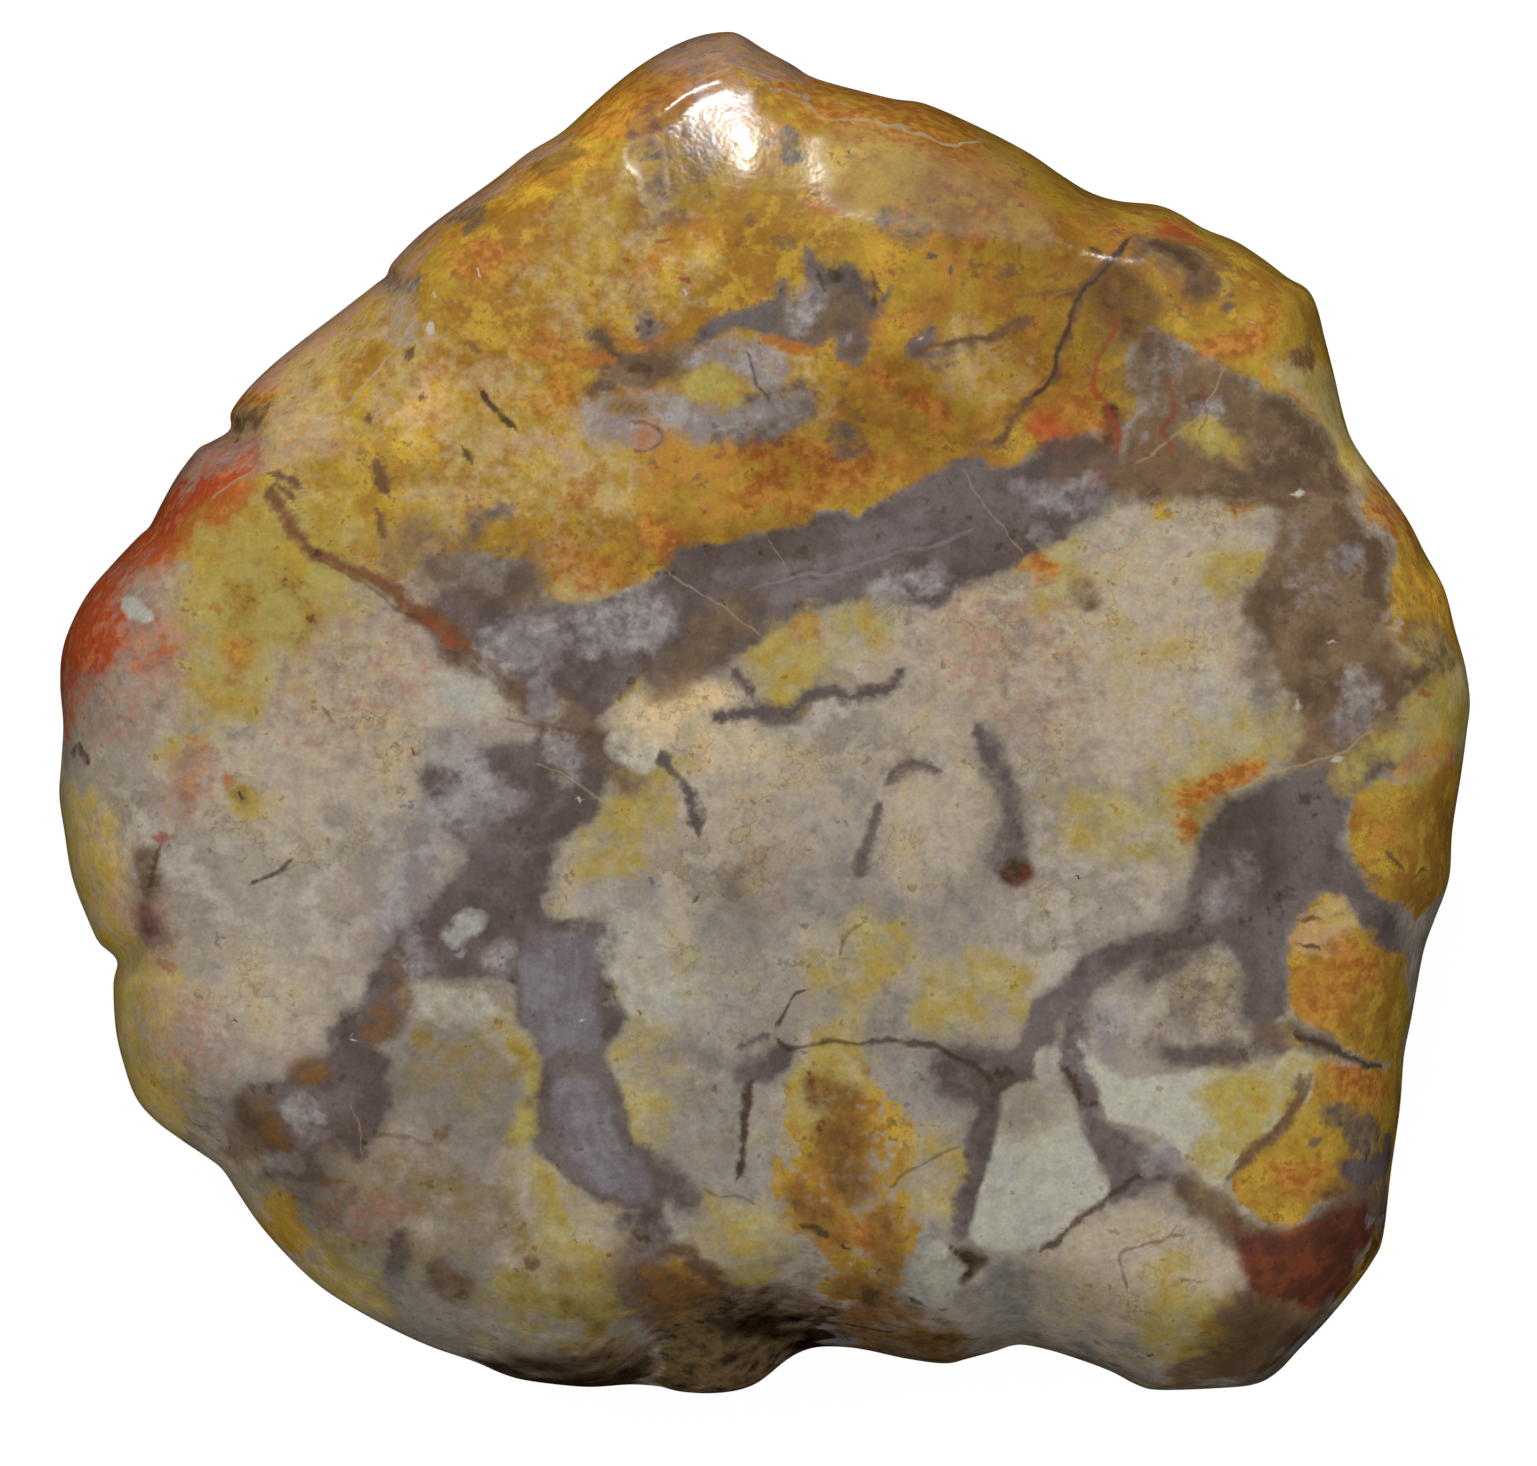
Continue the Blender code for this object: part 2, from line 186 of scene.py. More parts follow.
# Patches, by layer: softness of the edge and how strongly it shows, then a closed outline
PATCHES = {
    "ivory": """
    40 0.6: 1040,610 1100,555 1180,520 1250,530 1265,600 1240,650 1260,720 1240,760 1170,780
    1100,760 1040,720; 8 1.6: 1125,1205 1160,1208 1200,1218 1228,1240 1243,1278 1220,1308 1195,1328
    1185,1342 1150,1340 1110,1330 1060,1300 1045,1268 1075,1240 1100,1218; 8 1.6: 610,735 602,715
    640,702 690,690 720,682 745,695 735,714 700,715 665,740 625,746
    """,
    "gold": """
    7 2: 1348,476 1332,444 1306,415 1274,393 1242,377 1207,355 1190,345 1170,340 1150,330 1138,335
    1128,348 1124,365 1130,385 1140,400 1135,415 1120,425 1100,425 1080,435 1060,445 1040,452
    1020,462 1000,470 980,468 960,460 945,468 925,480 900,492 880,505 858,516 845,508 820,510
    805,525 775,535 752,532 730,545 700,545 685,560 668,568 650,578 620,586 600,596 575,606 552,600
    545,585 535,572 505,560 470,552 440,558 410,575 395,585 370,574 330,556 312,562 305,590 290,620
    260,640 230,640 200,620 190,580 180,560 100,560 60,400 400,100 720,-60 1200,60 1420,300
    1420,480; 8 2: 1362,480 1390,520 1392,560 1388,590 1400,620 1395,645 1415,655 1450,650 1540,700
    1540,480 1400,440; 7 2: 1350,795 1375,780 1400,788 1420,782 1465,760 1520,780 1500,900 1440,905
    1410,915 1385,900 1368,880 1360,860 1348,835; 7 2: 1315,900 1335,895 1360,920 1395,940 1412,985
    1410,1030 1404,1058 1370,1058 1345,1042 1310,1022 1290,1010 1285,985 1290,950 1300,925; 7 2:
    1310,1065 1350,1068 1430,1070 1420,1190 1385,1200 1345,1195 1310,1215 1285,1228 1262,1218
    1240,1195 1228,1180 1255,1160 1290,1130 1308,1100; 12 0.3: 790,1080 815,1065 830,1040 862,1050
    870,1080 900,1110 915,1160 905,1200 918,1240 890,1285 850,1295 820,1250 785,1225 775,1180
    785,1130
    """,
    "pale": """
    8 1.5: 1276,372 1300,362 1325,372 1338,400 1350,440 1368,480 1385,510 1375,515 1355,490
    1335,450 1310,415
    """,
    "yellow": """
    18 -0.3: 505,1165 540,1160 570,1180 600,1200 625,1220 622,1240 605,1270 600,1300 615,1325
    600,1345 560,1350 525,1340 500,1325 490,1290 510,1250 530,1225 515,1195
    """,
    "red": """
    9 2: 40,720 40,600 150,480 200,440 245,440 262,462 245,482 215,498 190,520 165,548 150,570
    132,590 126,605 135,622 138,640 122,655 105,672 85,700 75,730
    """,
    "pink": """
    5 1.4: 620,440 630,426 650,425 663,436 655,448 635,450
    """,
    "violet": """
    8 2: 668,566 676,552 699,546 726,543 752,534 779,533 805,526 818,514 842,509 852,518 878,506
    895,493 921,480 951,462 968,456 991,465 1020,462 1060,440 1100,440 1120,455 1125,480 1100,510
    1070,530 1040,548 1030,558 1010,572 980,580 960,585 945,600 918,608 885,600 838,605 800,616
    765,636 740,655 715,672 690,682 660,690 640,660 650,620 672,590; 10 0.8: 430,600 460,590
    500,592 540,590 545,600 600,598 640,590 672,570 690,600 680,640 650,670 620,700 600,715 600,735
    640,745 655,760 630,765 600,790 590,815 565,835 548,870 540,920 520,925 500,900 470,860 450,830
    445,800 460,760 500,745 540,740 530,700 500,680 480,660 450,660 430,640; 9 2: 425,775 440,765
    480,775 520,765 560,775 600,800 590,820 560,840 548,870 545,925 520,930 520,980 500,975 450,980
    415,985 405,1010 400,1030 378,1045 386,1062 392,1090 380,1120 360,1150 345,1150 325,1135
    318,1110 310,1090 318,1070 325,1058 335,1035 345,1012 365,1000 378,960 395,930 420,910 440,890
    460,870 480,850 470,830 445,815 430,800; 10 0.8: 325,1058 300,1062 285,1075 265,1085 240,1100
    238,1130 250,1150 290,1150 300,1170 260,1178 330,1185 320,1150 340,1150 320,1100; 6 2: 515,920
    560,918 605,922 620,936 614,966 620,999 626,1020 616,1043 608,1062 618,1095 632,1130 655,1160
    665,1190 655,1212 630,1210 598,1200 560,1175 538,1140 530,1105 530,1070 520,1040 515,980; 8
    1.5: 800,258 812,246 818,262 835,270 850,262 862,266 866,285 880,300 893,285 890,302 885,315
    870,320 862,318 870,335 873,350 857,366 838,355 833,335 815,345 795,340 770,335 745,330 720,335
    700,345 690,335 720,318 750,308 775,298 785,280 792,298 805,298 812,285 805,272; 9 2: 1210,822
    1240,800 1270,782 1300,772 1350,752 1385,745 1395,765 1362,785 1345,808 1340,840 1355,862
    1370,882 1395,910 1402,950 1385,950 1360,918 1340,896 1315,898 1300,922 1288,940 1284,970
    1284,1010 1262,1035 1245,1010 1240,965 1220,938 1200,942 1150,958 1100,988 1062,1020 1050,1060
    1030,1088 1000,1095 960,1072 1000,1060 1030,1030 1050,1000 1080,970 1120,950 1160,933 1190,900
    1196,860 1200,838; 7 1.5: 1085,1115 1110,1120 1150,1150 1185,1180 1215,1190 1230,1210 1210,1215
    1175,1185 1130,1195 1112,1202 1105,1170 1085,1140; 8 1: 1068,1010 1090,1000 1085,1040 1095,1080
    1100,1110 1080,1110 1072,1080 1060,1050
    """,
    "brown": """
    7 1.4: 585,335 605,328 620,345 650,350 680,345 697,352 692,370 665,378 650,388 620,384 602,395
    585,385 605,365 600,350; 10 2: 1143,330 1179,341 1207,357 1242,379 1274,395 1306,417 1332,446
    1346,478 1358,512 1380,540 1388,575 1384,600 1392,640 1400,660 1415,665 1440,650 1430,680
    1410,700 1400,740 1385,748 1350,754 1300,772 1285,760 1300,730 1292,700 1272,672 1260,640
    1242,620 1242,600 1262,570 1276,540 1272,512 1240,500 1180,498 1130,500 1105,485 1120,460
    1130,430 1143,412 1135,385 1130,360; 9 1.6: 1245,1288 1280,1302 1332,1304 1312,1335 1280,1362
    1235,1382 1165,1388 1184,1348 1201,1320
    """,
    "lavender": """
    5 2: 528,938 560,932 592,938 598,960 594,1000 602,1030 596,1050 560,1054 532,1062 525,1030
    522,980; 6 1.5: 553,1084 575,1072 600,1080 608,1108 620,1138 642,1162 655,1185 645,1202
    612,1198 582,1174 562,1142 554,1110
    """,
    "milk": """
    12 0.5: 585,410 600,395 640,392 680,390 720,405 760,400 800,395 808,412 780,432 740,432 700,442
    670,428 640,420 625,442 600,446 588,430; 12 0.5: 690,352 720,340 755,345 792,366 772,386
    730,372 700,368
    """,
    "white": """
    7 1.6: 1080,1040 1100,1065 1150,1078 1210,1070 1262,1070 1290,1052 1312,1060 1310,1095
    1290,1125 1262,1152 1235,1172 1210,1184 1190,1165 1165,1140 1130,1125 1105,1112 1098,1090
    1088,1070; 7 1.6: 1005,1090 1040,1082 1070,1092 1080,1125 1098,1165 1108,1195 1085,1212
    1050,1236 1020,1252 990,1248 970,1232 980,1190 990,1150 1000,1115
    """,
    "straw": """
    24 0.6: 1215,1075 1262,1070 1300,1050 1316,1065 1312,1100 1285,1130 1255,1158 1225,1178
    1205,1170 1210,1120
    """,
    "deep": """
    9 2: 1228,1212 1245,1228 1262,1232 1285,1232 1320,1216 1345,1204 1370,1200 1382,1220 1375,1240
    1358,1255 1350,1285 1330,1310 1308,1312 1280,1302 1250,1292 1243,1268 1235,1240
    """,
    # The patches in the hollow by the lower edge and on the low lobe inside it are partly the
    # stone's dark brown and partly painted shade
    "dark": """
    9 0.7: 640,1352 655,1328 680,1318 700,1302 735,1300 765,1302 800,1312 818,1332 835,1347
    820,1375 790,1420 760,1400 780,1370 770,1345 740,1335 700,1335 670,1342 650,1360 640,1400
    625,1390; 4 1.5: 948,1242 975,1252 986,1262 976,1276 965,1286 959,1279 968,1266 955,1254; 10 2:
    664,1330 700,1312 745,1318 790,1345 785,1375 760,1392 700,1396 665,1388 650,1370; 8 0.8:
    716,1306 760,1300 800,1316 832,1340 815,1352 790,1352 760,1340 730,1328; 6 2: 716,1312 745,1306
    780,1310 812,1324 840,1343 815,1354 790,1354 765,1348 735,1334
    """,
    "smoke": """
    14 -0.2: 1160,955 1200,945 1230,930 1250,940 1255,980 1260,1020 1245,1050 1200,1058 1160,1050
    1140,1040 1150,1010 1160,985
    """,
}

# Strokes, by layer: half width, softness, how strongly it shows, then a line or a dot
STROKES = {
    "grey": """
    40 30 0.4: 830,825 835,880; 36 30 0.2: 740,930 760,990; 34 26 0.2: 900,920 960,910; 26 20 0.4:
    850,1000 880,1020 930,1020; 50 34 0.5: 700,1080 700,1150 740,1200; 34 28 0.2: 900,1060 920,1110
    950,1130; 30 26 0.4: 395,1290 450,1285; 26 18 0.5: 920,1250 910,1290; 40 26 0.5: 1010,1290
    1060,1310 1110,1340; 22 14 0.9: 645,1240 640,1290 635,1330; 24 16 0.5: 85,740 95,775; 50 36
    0.4: 440,1070 480,1110; 30 26 0.5: 420,570 470,575 510,590; 24 20 0.3: 1230,680 1250,705; 40 30
    0.5: 280,1110 300,1170; 24 22 0.4: 840,470 860,450
    """,
    "ivory": """
    60 50 0.4: 400,680 350,740; 50 40 0.3: 230,760 280,780; 50 44 0.2: 730,780 790,810; 40 30 0.3:
    600,890 640,940; 50 40 0.1: 940,660 960,760 920,830; 40 34 0.2: 250,1000 300,1020; 50 40 0.3:
    1080,1280 1130,1300; 24 18 0.8: 975,585 990,605; 24 16 1.2: 400,560 430,590
    """,
    "gold": """
    14 10 1.2: 1388,1235 1362,1280; 18 14 0.6: 280,1215 292,1238; 22 14 0.5: 680,1280 712,1290; 14
    10 0.5: 830,1290 880,1282; 20 16 0.3: 1380,610 1370,640; 10 12 0: 1240,508; 10 12 0: 1165,508;
    10 14 0.2: 628,812 636,800; 12 11 0.6: 243,797; 10 14 0: 1170,1284
    """,
    "pale": """
    40 40 0: 480,420 430,400; 36 36 0.1: 520,470 580,465; 34 26 0.5: 285,400 310,420 275,440; 40 50
    -0.3: 640,250 600,280; 14 14 0.5: 560,450 590,475 620,500; 16 10 0.9: 1290,372 1325,385
    1342,420 1362,460 1385,505; 20 20 0.2: 580,590 560,560; 22 22 0: 790,375 800,400; 20 18 0:
    350,330 380,300; 12 12 -0.2: 1112,305; 26 26 -0.1: 450,500 420,540; 24 20 0: 960,360 1000,370;
    18 14 0.2: 1340,915 1320,935; 26 22 0.3: 88,850 102,910; 30 24 0.5: 120,925 150,985 150,1040
    165,1090; 8 10 0.2: 244,400; 16 14 0.8: 1208,428 1222,445; 26 22 0.5: 268,395 290,380 320,350;
    16 14 0.5: 1345,440 1352,475
    """,
    "yellow": """
    70 50 0.8: 262,600 290,580; 40 30 0.4: 230,680 210,640; 14 16 0.3: 180,760 200,720 220,690; 30
    22 0.6: 625,830 640,800 645,785; 24 18 0.3: 620,860 600,850; 22 18 0.4: 760,650 800,665; 14 10
    0.6: 745,1278 770,1272; 24 20 0.5: 810,1105 835,1065 850,1050; 16 14 0.3: 940,1030 930,1010; 30
    26 0.2: 950,990 1000,985; 30 26 0.1: 850,970 870,950; 24 20 0.4: 1060,570 1050,585; 30 26 0.4:
    1180,800 1220,760 1250,740; 30 26 0.3: 1090,820 1160,840; 26 20 0.2: 330,1260 370,1290; 20 18
    0.2: 640,1090 650,1120; 24 22 0.1: 630,1030 650,1050; 26 20 0.3: 720,1230 760,1240; 10 10 0.3:
    600,700 630,685; 30 30 -0.3: 450,1050 490,1060; 16 14 0.3: 1220,575 1250,560; 24 20 -0.6:
    1090,670 1160,650; 20 16 0.3: 1260,730 1290,720; 26 20 0.1: 940,1170 930,1190; 36 20 0.9:
    1430,670 1450,720; 16 14 1: 540,1170 552,1230; 18 16 0.8: 500,1285 560,1300 600,1320; 14 12
    0.6: 560,1250 590,1262; 12 10 0.6: 1290,372 1325,395 1345,430 1362,470; 50 44 -0.5: 320,1230
    400,1230
    """,
    "orange": """
    10 10 0.5: 228,660 255,640; 12 12 0.2: 205,692 230,690; 8 10 0: 195,745 188,790; 12 10 0.4:
    745,452 780,445 835,455; 9 10 0.6: 880,380 905,390 925,400 942,422; 12 12 0.3: 740,500 775,480;
    12 14 0.2: 560,390 550,410; 14 14 0.1: 545,345 560,360; 14 16 0.1: 460,250 490,262; 12 14 0.2:
    650,530 670,545; 10 12 0.2: 570,500 590,490; 14 10 0.6: 800,620 805,640; 12 9 0.7: 1030,562
    1045,570; 12 8 0.9: 1185,805 1215,785 1252,768; 10 8 0.4: 1190,828 1180,815; 14 12 0.3:
    1100,440 1080,460; 24 22 0.1: 700,80 660,100 620,120; 20 16 0.2: 800,85 880,112 960,136; 12 14
    0.2: 1050,420 1060,440; 10 10 0.3: 985,215 980,240; 20 18 0.2: 1330,1000 1360,960; 18 16 0.3:
    1330,1080 1370,1090; 16 16 0.2: 1290,1170 1310,1180; 16 10 0.4: 1400,520 1380,500; 14 12 0.3:
    860,1230 880,1240; 12 12 0.4: 1265,320 1245,345 1215,350; 13 9 1.1: 236,408 262,390; 16 14 0.2:
    560,560 600,575; 14 12 0.3: 790,500 840,480 880,468; 12 12 0.3: 1095,420 1080,400; 9 8 0.2:
    650,345 615,342; 22 22 0: 150,640; 7 10 0: 232,640 226,668
    """,
    "red": """
    8 10 0.2: 155,575 200,525 245,492; 9 9 0.4: 150,915 156,932; 12 10 0.1: 1075,440 1040,425; 12 8
    0.2: 430,615 450,632; 10 8 0.3: 1170,228 1190,232; 14 10 0.1: 1400,765 1440,760; 22 24 -0.1:
    150,640
    """,
    "pink": """
    18 10 0.9: 148,905 156,934; 10 8 0.7: 560,138 500,176 440,220 402,252 392,272 340,314 290,350
    255,380; 18 12 0.6: 175,470 200,452 232,446; 30 26 0: 152,600 155,660 125,700 95,710; 16 12
    0.6: 665,58 700,50 745,48; 12 12 0.2: 700,95 740,100; 12 12 0.3: 800,70 780,62; 18 16 0.1:
    345,1208 392,1216; 16 14 0: 240,440 262,460; 18 16 0: 195,770 180,800; 22 20 0: 200,1030
    190,1050; 40 40 -0.2: 1000,650 1040,680; 40 40 -0.3: 330,690 380,640; 14 14 0.4: 700,64 735,58
    765,70
    """,
    "violet": """
    11 10 0.5: 988,745 1000,775 1010,811 1012,850; 16 12 0.3: 1010,840 1000,860; 8 13 0.2: 474,524
    508,506; 9 9 0: 390,285 412,282; 12 8 0.9: 525,575 510,590; 12 10 0.3: 450,575 430,565; 14 10
    0: 895,222 915,232; 10 8 0.3: 795,155 790,140; 22 20 -0.2: 660,130 690,150 670,190; 10 8 0.2:
    640,315 650,330; 10 8 0.4: 915,345 930,335; 12 12 -0.1: 940,360 960,350; 12 12 0.1: 840,435
    850,445; 24 18 0.2: 750,420 790,405; 16 10 0.3: 1335,1115 1360,1130 1380,1150; 14 9 0.8:
    1350,1170 1372,1165 1360,1195; 26 16 0.6: 960,1075 1010,1080; 12 8 0.8: 992,1100 980,1140
    975,1180 960,1225; 14 10 0.5: 1270,1040 1320,1045; 10 8 0.3: 1150,975 1180,955; 10 8 0.5:
    1170,1055 1230,1055; 12 8 0.9: 750,1072 770,1068 785,1052; 9 8 0.2: 400,1240 400,1260; 18 14
    0.3: 640,1215 646,1240 640,1262; 12 10 0.4: 640,1150 655,1170 690,1200; 11 7 1.2: 1215,925
    1200,935 1160,945 1120,955 1090,965 1075,985 1050,1005 1035,1020 1030,1045 1015,1060 990,1075;
    11 6 0.8: 775,714 792,713; 16 14 0.3: 835,280 860,290; 14 12 0.2: 765,322 790,330; 22 20 0.1:
    1225,1350 1262,1330
    """,
    "brown": """
    7 11 0.2: 458,548 474,536; 18 13 0.7: 1150,248 1185,260 1205,282; 13 10 0.8: 1185,1188
    1212,1208 1235,1235; 12 7 1.2: 415,614 441,632 461,652; 16 12 0.8: 455,640 470,665; 9 7 0.8:
    461,649 484,669 511,689 531,705; 14 10 0.2: 850,310 830,300; 10 6 0.9: 855,348; 13 9 0.7:
    150,862 152,885; 20 16 0.3: 735,615 700,650 670,680; 18 14 0.3: 560,715 600,750 630,775; 26 22
    0.4: 1120,300 1130,320; 16 12 0.2: 1420,640 1440,655; 24 16 0.5: 255,1120 250,1135; 14 10 0.6:
    440,1275 455,1290; 10 10 0.2: 1085,600 1080,585; 24 24 0: 1250,610 1270,650; 30 26 0: 1180,420
    1150,390; 10 8 0.4: 1270,1035 1300,1040; 9 6 0.9: 665,1252 692,1256 716,1281 745,1295; 14 10
    0.4: 760,1302 800,1308; 20 14 0.4: 1375,1210 1340,1205; 9 9 0.3: 570,1305 600,1320; 18 16 0.4:
    800,315 850,320; 15 14 1: 605,358 650,366 680,360; 22 20 0.1: 1080,470 1150,450; 12 12 0.3:
    398,958; 28 24 0.5: 634,1285 668,1304 698,1310; 15 13 0.4: 815,1340 880,1352 950,1358; 28 26
    0.1: 415,556 470,572 520,578; 34 36 -0.3: 1330,560 1322,640 1315,700; 10 8 1: 1222,1206
    1252,1230 1300,1238 1345,1214 1385,1196
    """,
    "milk": """
    12 14 -0.2: 402,300 400,330; 24 18 0.3: 500,655 540,640; 26 18 0.4: 600,628 640,620; 14 10 0.4:
    540,690 548,702; 14 12 0.4: 470,750 450,740; 22 18 0.2: 400,850 385,880; 18 14 0.3: 460,815
    490,805; 10 8 0.3: 412,935 420,970; 10 8 0.4: 500,960 512,950; 12 14 0.2: 560,740 570,770; 12
    12 0.1: 1030,490 1060,500 1090,490; 12 10 0.2: 885,590 930,580; 12 10 0.3: 800,318 815,300; 12
    12 -0.5: 1165,360 1160,400; 10 8 0.4: 1200,410 1215,408; 12 12 -0.5: 1300,545 1310,590; 10 10
    0.2: 1335,560 1350,555; 16 14 0.3: 1360,690 1350,720; 14 12 0.1: 1240,870 1225,900; 14 12 0.2:
    300,1110 310,1125; 10 8 0.4: 275,1165 290,1160; 16 12 0.4: 1110,1020 1100,1060; 12 8 0.5:
    1170,1150 1155,1165; 14 5 2: 472,922; 11 5 2: 459,932; 22 18 0.7: 428,822 408,870 392,925; 18
    12 0.8: 455,800 480,790 500,800; 14 12 0.4: 440,750 470,765; 20 16 0.2: 1115,1022 1100,1050; 10
    10 1.4: 462,808 478,812; 20 16 0.1: 600,905 640,900; 40 40 -0.5: 760,870 800,860
    """,
    "white": """
    16 10 0.3: 640,755 625,750; 11 10 -0.1: 471,923; 16 12 0.4: 480,700 460,690; 30 24 0.1: 630,940
    650,985; 16 14 0.2: 415,1002 470,1010 512,1040; 9 5 1: 128,608 145,616; 12 8 0.6: 1048,1058
    1046,1075; 10 10 0: 1210,660 1205,700 1220,715; 26 18 0.2: 940,1270 930,1285
    """,
    "straw": """
    50 40 1: 255,590 285,580; 26 24 0.2: 240,650 230,680; 22 18 0.3: 104,950 120,985 122,1040
    140,1090 165,1120; 20 18 0.3: 1175,1280 1170,1300; 15 13 0.8: 1204,432 1222,446; 18 12 1:
    702,384 722,386; 8 10 0.3: 500,1022 525,1060 530,1110 525,1140; 26 22 0.3: 1170,1340 1190,1320;
    26 24 0: 850,640 800,650; 20 16 0.3: 780,670 790,690; 15 14 0.8: 242,797; 26 24 0: 1370,770
    1420,755; 30 26 1: 262,596 285,612; 18 18 0.2: 74,810 84,880; 22 22 0.3: 550,1285 590,1300
    """,
    "amber": """
    24 18 0.6: 840,1140 850,1185; 14 12 0.3: 880,1220 890,1260; 14 12 0.3: 800,1200 830,1230; 16 12
    0.4: 820,1090 840,1100; 22 18 0.3: 1115,290 1130,310; 12 10 0.4: 272,1132 280,1140; 8 8 0.8:
    612,408 640,408; 12 10 0.5: 860,1310 920,1320; 10 10 0.3: 840,1288 880,1292; 12 14 0.1:
    400,1000 380,1030; 10 10 0.3: 320,1070 300,1070; 5 5 0.3: 790,442; 8 8 0.2: 905,392; 8 9 0.2:
    242,797; 20 20 0.3: 662,1288 700,1302; 20 18 0: 560,1370 620,1362; 18 16 0.4: 830,1318 890,1336
    960,1350; 24 26 -0.4: 262,600 285,612
    """,
    "deep": """
    8 7 0.4: 148,914 152,924; 18 20 -0.5: 1070,455 1150,460; 8 7 0.5: 1110,412 1110,440; 14 5 1.6:
    1014,874 1021,874
    """,
    # The strokes along the lower rim and in the hollow are partly the stone's dark brown and partly
    # painted shade
    "dark": """
    10 7 1.2: 800,1325 815,1338 830,1346; 14 12 -0.1: 850,1180; 9 12 -0.1: 500,1378 560,1388
    620,1390; 8 12 -0.4: 400,1350 450,1370 500,1380; 9 8 0.5: 1015,874 1018,862; 14 12 0.6:
    775,1326 800,1336; 14 14 0.4: 728,1318 752,1322
    """,
    # Painted shade: these strokes darken the colour along the lower rim and in the hollow by the
    # lower edge
    "shade": """
    24 22 0.2: 485,1388 531,1395 640,1400; 22 22 -0.3: 880,1372 1000,1368 1090,1384 1150,1408; 20
    18 0: 1280,1385 1340,1330; 24 18 0.8: 492,1374 540,1382 620,1384; 14 10 1.2: 740,1325 790,1332
    825,1345
    """,
    "dull": """
    30 16 1: 850,150 900,165 960,180 1000,190; 14 8 1: 645,150 650,175 655,195; 40 30 -0.5: 750,130
    780,130; 22 16 1: 850,185 900,200 960,208 1030,220
    """,
    "smoke": """
    50 40 0.6: 330,1180 430,1200 480,1220; 50 44 0.2: 450,1060 470,1090; 24 20 0.3: 690,560 760,545
    800,530; 30 26 0.2: 1240,820 1250,870; 30 26 0.6: 1015,1110 1040,1100; 30 30 0.2: 690,170
    660,200; 60 50 0.5: 950,190 1040,250 1060,340; 40 36 0.3: 790,450 850,430; 40 30 0.4: 900,400
    940,420; 26 24 0.4: 545,1280 590,1300; 26 26 -0.4: 690,1150 700,1120; 22 24 -0.4: 560,520
    600,560; 26 22 0.8: 1230,1350 1265,1330; 30 34 0: 760,885
    """,
    # Painted light: these strokes brighten the colour, mostly on the steep rims, and on the low
    # lobe by the lower edge
    "light": """
    26 18 0.9: 88,770 84,820 96,880 108,930; 20 16 0.5: 108,960 112,1020 130,1080 170,1130; 16 14
    0.4: 70,700 76,740; 16 14 0.4: 1455,640 1458,700 1440,760; 16 16 0.2: 480,200 400,262 300,340;
    12 10 0.6: 1350,420 1360,470; 16 14 0.3: 880,250 920,240; 20 20 0.2: 700,240 660,260; 20 18
    0.3: 410,430 440,400; 22 18 0.8: 225,1165 260,1220 310,1270 360,1310; 26 20 0.4: 640,725
    700,700 730,745; 16 12 0.9: 500,180 560,138 610,104; 18 14 0.9: 1462,600 1462,680; 24 16 0.6:
    76,780 72,840 90,910; 24 14 1.9: 500,186 560,150 614,114; 24 16 1.4: 1446,580 1450,640; 44 24
    1.4: 690,1362 740,1368; 20 14 0.9: 80,860 96,900 104,960 112,1030 136,1090 170,1130; 22 16 0.8:
    210,1160 250,1200 300,1252; 24 16 0.5: 1290,1300 1300,1250; 18 12 1.9: 262,374 330,320 385,274;
    24 18 1.4: 215,1160 250,1195 300,1250
    """,
}

LAYER_NAMES = (
    "grey", "ivory", "gold", "pale", "yellow", "orange", "red", "pink", "violet",
    "brown", "lavender", "milk", "white", "straw", "amber", "deep", "dark", "shade",
    "dull", "smoke", "light",
)

# These layers darken, brighten or dull the others, and fade out below the waist: "shade" is painted
# shade and "light" is painted light
TONE_LAYERS = ("shade", "smoke", "light", "dull")
TONE_FADE = 0.04

# What fills the veins, as a screen shows it; "pale" and "white" also fill the painted highlights
FILLINGS = {
    "dark": (66, 50, 38), "brown": (104, 76, 52), "red": (134, 60, 38), "rust": (114, 74, 48),
    "orange": (162, 98, 40), "yellow": (164, 142, 76), "pink": (160, 122, 102),
    "violet": (90, 78, 74), "milk": (132, 124, 122), "white": (182, 176, 164),
    "pale": (158, 140, 112),
}
